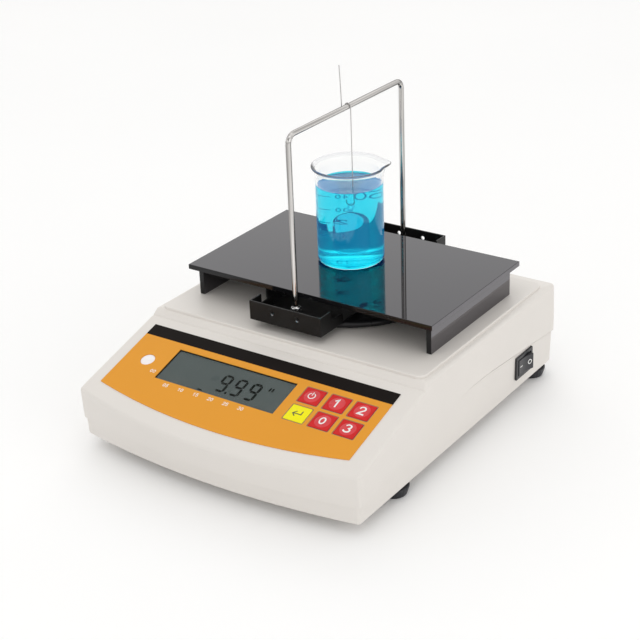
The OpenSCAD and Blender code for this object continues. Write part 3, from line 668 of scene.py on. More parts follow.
def station_point(tab, st, z, d, rf, rb):
    """Plan point of a perimeter station at height z, drawn in by d."""
    hw, yc, yn, yb = shape_at(tab, z)
    kind, p = st

    def yf(x):
        s = 2 * (yn - yc) * x / hw ** 2
        return yc + (yn - yc) * (x / hw) ** 2, sqrt(1 + s * s)

    if kind in ("front", "fl", "fr"):
        xc = hw - max(rf, d)
        e = max(rf, d)
        y0, k = yf(xc)
        cyy = y0 + e * k
        if kind == "front":
            x = lerp(-xc, xc, p)
            y0, k = yf(x)
            # the point on the inset curve that lies along the normal
            s = 2 * (yn - yc) * x / hw ** 2
            sx = x + (max(rf - d, 0)) * s / sqrt(1 + s * s)
            y1, k1 = yf(sx if abs(sx) < hw else x)
            return (sx if d < rf else x, (y1 if d < rf else y0) + d * (k1 if d < rf else k))
        s = 2 * (yn - yc) * xc / hw ** 2
        a_end = atan2(-1, s)  # outward normal at the right end
        r = max(rf - d, 0)
        a = lerp(a_end, 0, p)
        x, y = xc + r * cos(a), cyy + r * sin(a)
        return (x, y) if kind == "fr" else (-x, y)
    if kind == "side":
        return (hw - d, p)
    if kind == "sidel":
        return (-(hw - d), p)
    e = max(rb, d)
    r = max(rb - d, 0)
    if kind == "rr":
        a = radians(90 * p)
        return (hw - e + r * cos(a), yb - e + r * sin(a))
    if kind == "rl":
        a = radians(90 * p)
        return (-(hw - e + r * cos(a)), yb - e + r * sin(a))
    if kind == "rear":
        return (lerp(hw - e, -(hw - e), p), yb - d)


def shell(name, tab, side_ys, nx, na, rf, rb, zfun, seamz, ab, D, up, thick, mat):
    """Open moulded skin: walls, a rounded edge and a closed face, then given a thickness."""
    st = [("front", i / nx) for i in range(nx + 1)]
    st += [("fr", j / na) for j in range(1, na + 1)]
    st += [("side", y) for y in side_ys]
    st += [("rr", j / na) for j in range(0, na + 1)]
    st += [("rear", i / nx) for i in range(1, nx)]
    st += [("rl", j / na) for j in range(na, -1, -1)]
    st += [("sidel", y) for y in reversed(side_ys)]
    st += [("fl", j / na) for j in range(na, 0, -1)]
    n = len(st)
    verts, faces, rows = [], [], []
    K, J = 5, 6
    info = []
    for s in st:
        x, y = station_point(tab, s, 30, 0, rf, rb)
        info.append((y, ab(s, y)))
    for k in range(K):
        row = []
        for s, (y, (a, b)) in zip(st, info):
            zs = seamz(y)
            zt = zfun(y) - up * b
            z = lerp(zs, zt, k / K)
            px, py = station_point(tab, s, z, 0, rf, rb)
            row.append(len(verts))
            verts.append((px, py, z))
        rows.append(row)
    for j in range(J + 1):
        th = pi / 2 * j / J
        row = []
        for s, (y, (a, b)) in zip(st, info):
            d = a * (1 - cos(th))
            px, py = station_point(tab, s, zfun(y) - up * b, d, rf, rb)
            z = zfun(py) - up * b * (1 - sin(th))
            row.append(len(verts))
            verts.append((px, py, z))
        rows.append(row)
    row = []
    for s, (y, (a, b)) in zip(st, info):
        px, py = station_point(tab, s, zfun(y), D, rf, rb)
        row.append(len(verts))
        verts.append((px, py, zfun(py)))
    rows.append(row)
    for r0, r1 in zip(rows, rows[1:]):
        for i in range(n):
            i2 = (i + 1) % n
            faces.append((r0[i], r0[i2], r1[i2], r1[i]))
    # inner grid between the last row's stations
    last = rows[-1]
    ns = len(side_ys)
    right0 = nx + na + 1
    left0 = nx + na + 1 + ns + (na + 1) + (nx - 1) + (na + 1)
    rear0 = nx + na + 1 + ns + na
    def grid_front(i): return last[i]
    def grid_rear(i): return last[rear0 + nx - i]
    grid = [[grid_front(i) for i in range(nx + 1)]]
    for k in range(ns):
        R = last[right0 + k]
        Lf = last[left0 + ns - 1 - k]
        r = [Lf]
        for i in range(1, nx):
            a, b = Vector(verts[Lf]), Vector(verts[R])
            x, y = lerp(a.x, b.x, i / nx), a.y
            r.append(len(verts))
            verts.append((x, y, zfun(y)))
        r.append(R)
        grid.append(r)
    grid.append([grid_rear(i) for i in range(nx + 1)])
    for g0, g1 in zip(grid, grid[1:]):
        for i in range(nx):
            faces.append((g0[i], g0[i + 1], g1[i + 1], g1[i]))
    ob = mesh_obj(name, verts, faces, mat, angle=50, merge=2e-6)
    # make the skin face outward
    best = max(ob.data.polygons, key=lambda p: abs(p.normal.z) * p.area)
    if (best.normal.z > 0) != (up > 0):
        ob.data.flip_normals()
    md = ob.modifiers.new("s", "SOLIDIFY")
    md.thickness = thick * 0.001
    md.offset = -1
    md.use_even_offset = True
    apply_mods(ob, 50)
    return ob


side_common = [-100, -92, -84, -76, -64, -52, -44]
fine = [-41.2 + 0.42 * i for i in range(20)]
rest = [-30, -24, -17, -10, -4, 2, 8, 14, 24, 36, 50, 66, 69.5, 85.5, 96, 104, 108.6, 109.4, 110.2, 111.2, 113]


def cover_edge(s, y):
    kind = s[0]
    if kind in ("front", "fl", "fr"):
        return (1.9, 1.7)
    t = min(max((y + 41.5) / 7.0, 0), 1)
    t = t * t * (3 - 2 * t)
    if kind in ("rear", "rr", "rl"):
        return (2.2, 1.9)
    return (lerp(1.7, 3.0, t), lerp(1.5, 2.3, t))


def gap(y):
    t = min(max((y + 104) / 16, 0), 1)
    return t * t * (3 - 2 * t)


cover = shell("cover_shell", COVER_T, side_common + fine + rest, 32, 5, 2.6, 4.0, topz,
              lambda y: seam(y) + 0.08 + 0.42 * gap(y), cover_edge, 5.0, 1, 1.6, "cream")

# plateau, a low raised table with a soft edge
plateau = pad("plateau", rrect(-93.1, 93.1, -35.2, 109, 5, 8), 61.0, 63.3, 0.8, "cream", seg=4, angle=50)
cover = cut(cover, [plateau], "UNION", 50)
tools = [box("t1", LCD[0], LCD[1], LCD[2], LCD[3], -6, 3, "cream", slope)]
pockets = []
for x in KEY_X:
    for v in KEY_V:
        pockets.append(box("t", x - KEY_W / 2 - 0.3, x + KEY_W / 2 + 0.3, v - KEY_H / 2 - 0.3, v + KEY_H / 2 + 0.3,
                           -1.15, 3, "cream", slope))
        tools.append(prism("t", arc(x, v, 2.6, 2.6, 0, 360, 20)[:-1], -6, 2, "cream", slope))
tools.append(prism("t", arc(SPOT[0], SPOT[1], 5.2, 5.2, 0, 360, 40)[:-1], -6, 3, "cream", slope))
tools.append(prism("t", arc(PAN[0], PAN[1], 8, 8, 0, 360, 40)[:-1], 55, 70, "cream"))
cut(cover, [join("pockets", pockets), join("tools", tools)], angle=50)
put(cover, "casing", "cream_plastic", "top_cover")

tray_ys = [-100, -92, -84, -76, -64, -52, -44, -34, -24, -17, -10, -4, 2, 8, 14, 24, 36, 50, 66, 69.5, 85.5, 96, 104,
           108, 112]
tray = shell("tray_shell", TRAY_T, tray_ys, 32, 5, 2.6, 3.6, lambda y: 7.4, lambda y: seam(y) - 0.1 - 0.5 * gap(y),
             lambda s, y: (2.0, 1.8), 4.6, -1, 1.6, "cream")
tools = []
for x, y in FEET:
    tools.append(prism("t", arc(x, y, 4.6, 4.6, 0, 360, 32)[:-1], 2, 14, "cream"))
for x, y in SCREWS:
    tools.append(prism("t", arc(x, y, 3.6, 3.6, 0, 360, 32)[:-1], 2, 14, "cream"))
for y in (5, 17):
    tools.append(prism("t", arc(PAN[0], y, 4.3, 4.3, 0, 360, 32)[:-1], 2, 14, "cream"))
for i in range(-4, 5):
    x = -58 + i * 5
    tools.append(prism("t", rrect(x, x + 1.6, -58, -36, 0.79, 4), 2, 14, "cream"))
tools.append(box("t", SW_X - 8, SW_X + 12, SW_Y - 9.6, SW_Y + 9.6, SW_Z - 6.6, SW_Z + 6.6, "cream"))
tools.append(box("t", 10, 82, 110, 124, 13, 25.4, "cream"))
cut(tray, [join("tools", tools)], angle=50)
put(tray, "casing", "cream_plastic", "base_tray")

# --------------------------------------------------------------------------
# Key panel
# --------------------------------------------------------------------------
def overlay_bottom(x):
    return -71.8 + 9.95 * ((x + 1.5) / 87.3) ** 2


xs = [-88.8 + 174.6 * i / 48 for i in range(49)]
body_poly = [(x, overlay_bottom(x)) for x in xs] + [(85.8, -16.64), (-88.8, -16.64)]
film = prism("overlay_film", body_poly, 0.0, 0.45, "orange", slope)
strip = prism("overlay_strip", [(-88.8, -16.64), (85.8, -16.64), (85.8, -7.6), (-88.8, -7.6)], 0.0, 0.45, "strip", slope)
tools = [box("t", LCD[0], LCD[1], LCD[2], LCD[3], -2, 3, "orange", slope)]
for x in KEY_X:
    for v in KEY_V:
        tools.append(prism("t", rrect(x - KEY_W / 2 - 0.22, x + KEY_W / 2 + 0.22, v - KEY_H / 2 - 0.22,
                                      v + KEY_H / 2 + 0.22, 0.5, 3), -2, 3, "orange", slope))
tools.append(prism("t", arc(SPOT[0], SPOT[1], 4.6, 4.6, 0, 360, 48)[:-1], -2, 3, "orange", slope))
cut(film, [join("tools", tools)], angle=30)
marks = []
for i, u in enumerate([-48.0, -37.0, -25.9, -15.3, -4.5, 6.1]):
    marks += figure(str((i + 1) // 2 if i % 2 else i // 2), u - 1.0, -50.7, 2.2, 0.36, 0.05, slope, 0.44)
    marks += figure("5" if i % 2 == 0 else "0", u + 1.0, -50.7, 2.2, 0.36, 0.05, slope, 0.44)
marks += figure("0", -64.3, -43.2, 2.2, 0.36, 0.05, slope, 0.44)
marks += figure("0", -62.3, -43.2, 2.2, 0.36, 0.05, slope, 0.44)
marks = strokes("overlay_marks", marks, "print")
borders = []
for i, x in enumerate(KEY_X):
    for j, v in enumerate(KEY_V):
        a, b = KEY_W / 2 + 0.42, KEY_H / 2 + 0.42
        borders.append((rrect(x - a, x + a, v - b, v + b, 0.6, 3), 0.34, 0.012, slope, True, 0.44))
borders = strokes("key_borders", borders, "line")
overlay = join("panel_film", [film, strip, marks, borders], 30)
put(overlay, "casing", "overlay_film", "panel_overlay")

# display: black liner, recessed grey face, thin dark figures
o, i_ = LCD, 0.28
liner = prism("display_liner", [(o[0], o[2]), (o[1], o[2]), (o[1], o[3]), (o[0], o[3])], -5.4, 0.0, "liner", slope)
hole = box("t", o[0] + i_, o[1] - i_, o[2] + i_, o[3] - i_, -3.45, 3, "liner", slope)
cut(liner, [hole], angle=30)
put(liner, "casing", "black_plastic", "display_frame")
face = pad("display_face", rrect(o[0] + i_ + 0.02, o[1] - i_ - 0.02, o[2] + i_ + 0.02, o[3] - i_ - 0.02, 0.4, 3),
           -3.4, -0.6, 0.1, "lcd", slope, seg=1)


def seg_digit(u, v, w, h, on, thick=1.15, gap=0.22):
    """Seven bars a..g with mitred ends; returns polygons of the lit and of the dark ones."""
    t = thick / 2
    A = {
        "a": ((0, h), (w, h)), "g": ((0, h / 2), (w, h / 2)), "d": ((0, 0), (w, 0)),
        "f": ((0, h / 2), (0, h)), "b": ((w, h / 2), (w, h)), "e": ((0, 0), (0, h / 2)), "c": ((w, 0), (w, h / 2)),
    }
    out = []
    for k, (p, q) in A.items():
        (x0, y0), (x1, y1) = p, q
        if y0 == y1:
            poly = [(x0 + gap, y0), (x0 + gap + t, y0 + t), (x1 - gap - t, y0 + t), (x1 - gap, y0),
                    (x1 - gap - t, y0 - t), (x0 + gap + t, y0 - t)]
        else:
            poly = [(x0, y0 + gap), (x0 + t, y0 + gap + t), (x0 + t, y1 - gap - t), (x0, y1 - gap),
                    (x0 - t, y1 - gap - t), (x0 - t, y0 + gap + t)]
        out.append((k in on, [(u - w / 2 + a, v - h / 2 + b) for a, b in poly]))
    return out


SEG = {"0": "abcdef", "9": "abcdfg", "8": "abcdefg", "": ""}
lit = []
for u, ch in ((-15.9, "9"), (-5.7, "9"), (4.5, "9")):
    for on, poly in seg_digit(u, -36.0, 5.2, 12.5, SEG[ch], 1.6, 0.17):
        if on:
            lit.append(poly)


def plates(name, polys, h0, h1, mat, place):
    return join(name, [prism("p", p, h0, h1, mat, place) for p in polys], 30)


lit.append(rrect(-11.5, -10.1, -43.1, -41.7, 0.3, 2))                # decimal point
lit.append([(-29.4, -45.9), (-28.2, -44.9), (-26.2, -44.9), (-25.0, -45.9)])   # small pointer at the lower edge
lit += [rrect(12.3, 13.4, -32.0, -29.2, 0.15, 1), rrect(14.2, 15.3, -32.0, -29.2, 0.15, 1)]
digits = plates("display_figures", lit, -0.62, -0.54, "segment", slope)
face = join("display_panel", [face, digits], 30)
put(face, "casing", "lcd_grey", "display_glass")
win = pad("display_cover", rrect(o[0] + i_ + 0.01, o[1] - i_ - 0.01, o[2] + i_ + 0.01, o[3] - i_ - 0.01, 0.3, 3),
          -0.5, -0.05, 0.08, "window", slope, seg=1)
put(win, "casing", "window_clear", "display_window")

# spirit level
sx, sv = SPOT
vial = lathe("t", [(0, -7.6), (5.15, -7.6), (5.15, -0.72), (4.6, -0.72), (4.6, -6.0), (0, -6.0)], "level_white", n=48)
for v in vial.data.vertices:
    c = v.co * 1000
    v.co = Vector(slope(sx + c.x, sv + c.y, c.z)) * 0.001
lens = lathe("t", [(0, -5.9), (4.55, -5.9), (4.55, -0.05), (4.45, 0.12), (4.2, 0.2), (2.6, 0.26), (1.3, 0.29), (0, 0.3)], "level_white",
             n=48, angle=50)
for v in lens.data.vertices:
    c = v.co * 1000
    v.co = Vector(slope(sx + c.x, sv + c.y, c.z)) * 0.001
put(join("level_body", [vial]), "casing", "vial_white", "level_vial")
put(join("level_dome", [lens], 50), "casing", "vial_clear", "level_lens")


# keys
def cap_height(du, dv, top=0.62, rise=0.55, r=4.75):
    q = hypot(du, dv) / r
    return top + (rise * (1 - q * q) ** 0.8 if q < 1 else 0.0)


def key(node, i, j, base, dome, sign_mat, sign):
    x, v = KEY_X[i], KEY_V[j]
    plate = pad("t", rrect(x - KEY_W / 2, x + KEY_W / 2, v - KEY_H / 2, v + KEY_H / 2, 0.45, 3), -0.2, 0.62, 0.14, base,
                slope, seg=2)
    # embossed round
    verts, faces = [], []
    n, rings = 40, [4.75, 4.6, 4.3, 3.8, 3.1, 2.3, 1.4, 0.6]
    for k in range(n):
        a = 2 * pi * k / n
        verts.append(slope(x + 4.75 * cos(a), v + 4.75 * sin(a), 0.3))
    for r in rings:
        for k in range(n):
            a = 2 * pi * k / n
            verts.append(slope(x + r * cos(a), v + r * sin(a), cap_height(r * cos(a), r * sin(a)) + 0.012))
    verts.append(slope(x, v, cap_height(0, 0) + 0.012))
    for q in range(len(rings)):
        for k in range(n):
            k2 = (k + 1) % n
            faces.append((q * n + k, q * n + k2, (q + 1) * n + k2, (q + 1) * n + k))
    for k in range(n):
        faces.append((len(rings) * n + k, len(rings) * n + (k + 1) % n, len(verts) - 1))
    faces.append(tuple(range(n - 1, -1, -1)))
    cap = mesh_obj("t", verts, faces, dome, angle=40)
    place = lambda a, b, w: slope(a, b, w + cap_height(a - x, b - v))
    items = []
    for kind, args in sign:
        if kind == "fig":
            items += figure(args[0], x, v, args[1], args[2], 0.06, place, 0.0, 1.15)
        elif kind == "line":
            pts = [(x + p[0], v + p[1]) for p in args[0]]
            items.append((pts if args[2] else dense(pts, 0.3), args[1], 0.06, place, args[2], 0.0))
    mark = strokes("t", items, sign_mat)
    nib = prism("t", arc(x, v, 1.6, 1.6, 0, 360, 24)[:-1], -2.1, -0.1, base, slope)
    ob = join(node + "_cap", [plate, cap, mark, nib], 30)
    put(ob, node, "key_yellow" if node == "key_enter" else "key_red", node)


key("key_power", 0, 0, "red", "pink", "print",
    [("line", (arc(0, -0.1, 2.1, 2.1, 125, 415, 26), 0.55, False)), ("line", ([(0, 0.4), (0, 2.6)], 0.55, False))])
key("key_1", 1, 0, "red", "pink", "print", [("fig", ("1", 5.4, 0.95))])
key("key_2", 2, 0, "red", "pink", "print", [("fig", ("2", 5.4, 0.95))])
key("key_enter", 0, 1, "yellow", "yellow", "sign_dark",
    [("line", ([(2.6, 2.0), (2.6, -0.6), (-2.4, -0.6)], 0.6, False)),
     ("line", ([(-0.9, 1.1), (-2.8, -0.6), (-0.9, -2.3)], 0.6, False))])
key("key_zero", 1, 1, "red", "pink", "print", [("fig", ("0", 4.6, 0.85))])
key("key_3", 2, 1, "red", "pink", "print", [("fig", ("3", 5.4, 0.95))])


# --------------------------------------------------------------------------
# Bridge table
# --------------------------------------------------------------------------
bx, by = 173.3 / 2, 103.7 / 2
top = pad("table_sheet", [(-bx, 37.9 - by), (bx, 37.9 - by), (bx, 37.9 + by), (-bx, 37.9 + by)], BZ - 3.2, BZ, 0.25,
          ["acrylic", "acrylic_edge", "acrylic_leg"], seg=2, both=True)
for p in top.data.polygons:
    p.material_index = 0 if abs(p.normal.z) > 0.9 else (2 if abs(p.normal.x) > 0.95 else 1)
put(top, "bridge", "black_acrylic", "bridge_top")
for s, nm in ((-1, "bridge_leg_left"), (1, "bridge_leg_right")):
    x0, x1 = (-bx + 3.6, -bx + 6.8) if s < 0 else (bx - 6.8, bx - 3.6)
    y0, y1 = 37.9 - by + 5.2, 37.9 + by - 5.2
    leg = pad(nm + "_sheet", [(x0, y0), (x1, y0), (x1, y1), (x0, y1)], 63.3, BZ - 3.2, 0.22, ["acrylic_leg", "acrylic_edge"],
              seg=2, both=True)
    for p in leg.data.polygons:
        p.material_index = 0 if abs(p.normal.x) > 0.9 else 1
    put(leg, "bridge", "black_acrylic", nm)

# --------------------------------------------------------------------------
# Cradle, pan, gantry
# --------------------------------------------------------------------------
CX, CW = -2.54, 50.7
c0, c1 = CX - CW / 2, CX + CW / 2
cy0, cy1, cz, ct, ch = -30.91, 111.03, 68.3, 1.0, 80.44
parts = [box("t", c0, c1, cy0, cy1, cz, cz + ct, "sheet")]
for e in (0, 1):
    y0, y1 = (cy0, cy0 + ct) if e == 0 else (cy1 - ct, cy1)
    parts.append(box("t", c0, c1, y0, y1, cz, ch, "sheet"))
    for s in (0, 1):
        xa, xb = (c0, c0 + ct) if s == 0 else (c1 - ct, c1)
        ya, yb = (cy0, cy0 + 11) if e == 0 else (cy1 - 11, cy1)
        parts.append(box("t", xa, xb, ya, yb, cz, ch, "sheet"))
        ya, yb = (cy0, cy0 + 23.1) if e == 0 else (cy1 - 23.1, cy1)
        parts.append(box("t", xa, xb, ya, yb, cz, cz + 6.3, "sheet"))
first = parts[0]
cut(first, parts[1:], "UNION")
tools = []
for y in (ROD_Y0, ROD_Y1):
    tools.append(prism("t", arc(ROD_X, y, 1.7, 1.7, 0, 360, 24)[:-1], 60, 75, "sheet"))
for y in (-8, 8):
    tools.append(prism("t", arc(PAN[0], PAN[1] + y, 1.6, 1.6, 0, 360, 24)[:-1], 60, 75, "sheet"))
for x in (-8.9, 8.9):
    for y0, y1 in ((-40, -25), (105, 120)):
        tools.append(prism("t", arc(CX + x, 75.6, 1.3, 1.3, 0, 360, 28)[:-1], y0, y1, "sheet",
                           lambda a, b, h: (a, h, b)))
md = first.modifiers.new("w", "WELD")
md.merge_threshold = 1e-6
apply_mods(first)
bm = bmesh.new(); bm.from_mesh(first.data)
bmesh.ops.dissolve_limit(bm, angle_limit=radians(1), verts=bm.verts, edges=bm.edges)
bm.to_mesh(first.data); bm.free()
soften(first, 0.28, 3, 40)
cut(first, [join("tools", tools)], angle=35)
first.data.materials.append(M["bore"])
for p in first.data.polygons:
    c = p.center * 1000
    if abs(p.normal.y) < 0.5 and min(hypot(c.x - CX - 8.9, c.z - 75.6), hypot(c.x - CX + 8.9, c.z - 75.6)) < 1.45:
        p.material_index = len(first.data.materials) - 1
first.name = "cradle_sheet"
put(first, "pan", "black_sheet", "cradle")

# spun pan with a turned-down rim
R = 54.0
prof = [(0, 67.4), (R - 2.4, 67.4)] + [(R - 2.4 + 1.5 * sin(a), 65.9 + 1.5 * cos(a)) for a in [pi / 2 * k / 5 for k in range(1, 6)]]
prof += [(R - 0.9, 64.6), (R - 0.5, 64.5), (R - 0.1, 64.6), (R, 65.0)]
prof += [(R - 2.3 + 2.3 * cos(a), 65.9 + 2.3 * sin(a)) for a in [pi / 2 * k / 7 for k in range(0, 8)]] + [(0, 68.2)]
pan = lathe("pan_disc", prof, "pan_black", PAN, n=128, angle=45)
put(pan, "pan", "black_sheet", "weighing_pan")


def arc3(c, r, a0, a1, n):
    """Arc in the plane x = c[0]; angles measured in y-z."""
    return [(c[0], c[1] + r * cos(radians(lerp(a0, a1, k / n))), c[2] + r * sin(radians(lerp(a0, a1, k / n))))
            for k in range(n + 1)]


br = 5.5
leg_a = [(ROD_X, ROD_Y0, z) for z in (64.6, 66, 69, 78, 100, 130, 160)]
leg_b = [(ROD_X, ROD_Y1, z) for z in (160, 130, 100, 78, 69, 66, 64.6)]
path = leg_a + arc3((ROD_X, ROD_Y0 + br, BAR_Z - br), br, 180, 90, 12) + [(ROD_X, y, BAR_Z) for y in (0, 20, 40, 60, 80)]
path += arc3((ROD_X, ROD_Y1 - br, BAR_Z - br), br, 90, 0, 12) + leg_b
rod = tube("gantry_tube", path, 1.6, ["steel", "steel_bar"], n=28, n0=(1, 0, 0), round_ends=True)
# the top bar takes the steel copy whose painted reflection streaks run along y, the rest the one whose streaks run
# along z
for p in rod.data.polygons:
    c = p.center * 1000
    p.material_index = 1 if c.z > BAR_Z - 3.5 else 0
put(rod, "pan", "steel", "gantry_rod")


def hexnut(cx, cy, z0, z1, af, bore, mat="zinc"):
    """Hex nut with chamfered corners and a bore."""
    rc = af / 2 / cos(pi / 6)
    n = 48
    verts, faces = [], []
    ch_ = 0.35

    def hexr(a):
        a = (a + pi / 6) % (pi / 3) - pi / 6
        return af / 2 / cos(a)

    rows = []
    for r_kind, z in (("bore", z0), ("face", z0), ("hexlo", None), ("hexhi", None), ("face", z1), ("bore", z1)):
        row = []
        for k in range(n):
            a = 2 * pi * k / n
            if r_kind == "bore":
                r, zz = bore, z
            elif r_kind == "face":
                r, zz = af / 2 - 0.08, z
            else:
                r = hexr(a)
                dz = (r - af / 2 + 0.08) * 0.55
                zz = z0 + dz if r_kind == "hexlo" else z1 - dz
            row.append(len(verts))
            verts.append((cx + r * cos(a), cy + r * sin(a), zz))
        rows.append(row)
    rows.append(rows[0])
    for a, b in zip(rows, rows[1:]):
        for k in range(n):
            k2 = (k + 1) % n
            faces.append((a[k], a[k2], b[k2], b[k]))
    return mesh_obj("t", verts, faces, mat, angle=25)


nuts = [hexnut(ROD_X, y, 69.3, 77.7, 5.5, 1.62) for y in (ROD_Y0, ROD_Y1)]
put(join("gantry_long_nuts", nuts, 25), "pan", "zinc_screws", "gantry_nuts")
locks = [hexnut(ROD_X, y, 65.9, 68.3, 5.5, 1.62) for y in (ROD_Y0, ROD_Y1)]
put(join("gantry_under_nuts", locks, 25), "pan", "zinc_screws", "gantry_lock_nuts")

# --------------------------------------------------------------------------
# Hook, plummet, beaker, sample
# --------------------------------------------------------------------------
hx, hy = HANG
hr = hx - ROD_X
path = [(hx - EYE_R + EYE_R * sin(radians(a)), hy, EYE_Z - EYE_R * cos(radians(a))) for a in range(-112, 90, 12)]
path += [(hx, hy, EYE_Z + 0.6), (hx, hy, EYE_Z + 4), (hx, hy, EYE_Z + 15), (hx, hy, 150), (hx, hy, 165), (hx, hy, BAR_Z - 2)]
path += [(ROD_X + hr * cos(radians(a)), hy, BAR_Z + hr * sin(radians(a))) for a in range(0, 181, 12)]
tail = [(ROD_X - hr, hy - 0.2, BAR_Z - 1.4), (ROD_X - hr, hy - 0.9, BAR_Z - 2.5), (ROD_X - hr, hy - 1.8, BAR_Z - 2.8),
        (ROD_X - hr, hy - 2.7, BAR_Z - 2.3), (ROD_X - hr, hy - 3.2, BAR_Z - 1), (ROD_X - hr, hy - 3.4, BAR_Z + 1.5),
        (ROD_X - hr - 0.3, hy - 3.4, BAR_Z + 12), (ROD_X - hr - 0.9, hy - 3.4, BAR_Z + 25.05)]
path += tail
hook = tube("hook", path, 0.3, "wire", n=10, n0=(0, 1, 0), round_ends=True, angle=60)
put(hook, "hook", "steel", "hook_wire")

px, py = hx - EYE_R, hy
pr = 8.8
prof = [(0, 92.2), (pr - 3.0, 92.2)] + [(pr - 2.4 + 2.4 * sin(a), 94.6 - 2.4 * cos(a)) for a in [radians(10 + 16 * k) for k in range(0, 6)]]
prof += [(pr, 97), (pr, 104), (pr, 109.4)] + [(pr * cos(radians(a)), 109.8 + 7.6 * sin(radians(a))) for a in range(8, 82, 7)]
prof += [(1.25, 117.9), (1.05, 118.4), (1.05, 119.0), (0.6, 119.3), (0, 119.35)]
pl = lathe("t", prof, "plummet", (px, py), n=64, angle=50)
ring = tube("t", [(px, py + 2.3 * cos(a), 121 + 2.3 * sin(a)) for a in [2 * pi * k / 40 for k in range(40)]], 0.55,
            "plummet", n=12, closed=True, n0=(1, 0, 0), angle=60)
ob = join("plummet_body", [pl, ring], 50)
put(ob, "plummet", "clear_glass", "plummet")

# beaker: a spun profile with a pouring lip pulled out of the rim
bcx, bcy = BEAKER
wall, floor_ = 1.25, 2.0
lip_a = radians(40)
prof = [(0, 0.6), (12, 0.45), (15.5, 0.0), (BR - 2.6, 0.0)]
prof += [(BR - 2.6 + 2.6 * sin(a), 2.6 - 2.6 * cos(a)) for a in [pi / 2 * k / 7 for k in range(1, 8)]]
prof += [(BR, z) for z in (8, 20, 34, 46, 52, 54.6)]
prof += [(r, z + 1.1) for r, z in
         [(BR + 0.25, 56.0), (BR + 0.9, 57.4), (BR + 1.7, 58.3), (BR + 2.15, 58.75), (BR + 2.3, 59.25), (BR + 2.1, 59.7),
          (BR + 1.6, 59.88), (BR + 1.0, 59.75), (BR + 0.2, 59.1), (BR - 0.5, 58.0), (BR - 1.0, 56.6), (BR - wall, 54.8)]]
prof += [(BR - wall, z) for z in (52, 46, 34, 20, 8)]
prof += [(BR - wall - 2.0 + 2.0 * cos(a), floor_ + 2.0 - 2.0 * sin(a)) for a in [pi / 2 * k / 6 for k in range(0, 7)]]
prof += [(12, floor_ - 0.05), (0, floor_)]
n = 128
verts, faces, rows = [], [], []
for r, z in prof:
    if r <= 1e-6:
        rows.append([len(verts)])
        verts.append((bcx, bcy, BZ + z))
        continue
    row = []
    for k in range(n):
        a = 2 * pi * k / n
        d = abs((a - lip_a + pi) % (2 * pi) - pi)
        g = math.exp(-(d / radians(13)) ** 2) if z > 50 else 0.0
        s = ((z - 50) / 9.9) ** 2 * g
        narrow = -0.35 * math.exp(-((d - radians(27)) / radians(9)) ** 2) * max(0, (z - 52) / 8) if z > 50 else 0
        rr = r + 2.6 * s + narrow * 1.5
        zz = z - 0.5 * s
        row.append(len(verts))
        verts.append((bcx + rr * cos(a), bcy + rr * sin(a), BZ + zz))
    rows.append(row)
for A, B in zip(rows, rows[1:]):
    for k in range(n):
        k2 = (k + 1) % n
        if len(A) == 1:
            faces.append((A[0], B[k], B[k2]))
        elif len(B) == 1:
            faces.append((A[k], A[k2], B[0]))
        else:
            faces.append((A[k], A[k2], B[k2], B[k]))
beaker = mesh_obj("t", verts, faces, ["glass", "rim"], angle=60)
# faces at the top of the rim take the lighter rim copy of the glass, painted light
for p in beaker.data.polygons:
    if p.center.z * 1000 > BZ + 59.1:
        p.material_index = 1


def on_beaker(a0):
    """Wraps (arc length, height) round the beaker's wall, starting at angle a0 degrees."""
    def f(s, z, w):
        a = radians(a0) + s / BR
        r = BR + w
        return (bcx + r * cos(a), bcy + r * sin(a), BZ + z)
    return f


grad = []
far = on_beaker(147.5)
for k, z in enumerate((10.6, 19.3, 27.9, 36.5)):
    grad.append((dense([(-2.8, z), (2.8, z)], 0.6), 0.34, 0.03, far, False, 0.0))
    for m, ch_ in enumerate((str(k + 1), "0")):
        grad += figure(ch_, -7.2 + m * 2.1, z, 2.1, 0.3, 0.03, far, 0.0)
far = on_beaker(110)
for m, ch_ in enumerate("50"):
    grad += figure(ch_, -2.0 + m * 4.0, 36.5, 4.6, 0.5, 0.03, far, 0.0, 1.1)
for m, ch_ in enumerate("100"):
    grad += figure(ch_, -2.2 + m * 2.2, 42.2, 2.2, 0.3, 0.03, far, 0.0)
grads = strokes("t", grad, "enamel")
beaker = join("beaker_glass", [beaker, grads], 60)
put(beaker, "beaker", "clear_glass", "beaker")

# sample: overlaps the glass by a hair so that light passes straight from one to the other
ri = BR - wall + 0.12
prof = [(0, floor_ - 0.12)] + [(ri - 2.0 + 2.0 * sin(a), floor_ - 0.12 + 2.0 - 2.0 * cos(a)) for a in [pi / 2 * k / 6 for k in range(0, 7)]]
prof += [(ri, z) for z in (10, 20, 30, 40, LIQ - BZ - 1)]
prof += [(ri, LIQ - BZ + 0.85), (ri - 0.22, LIQ - BZ + 0.8), (ri - 0.7, LIQ - BZ + 0.35), (ri - 1.5, LIQ - BZ + 0.08), (ri - 3.0, LIQ - BZ),
         (8, LIQ - BZ), (0, LIQ - BZ)]
liq = lathe("sample", [(r, z + BZ) for r, z in prof], "liquid", BEAKER, n=96, angle=60)
put(liq, "beaker", "blue_liquid", "sample_liquid")

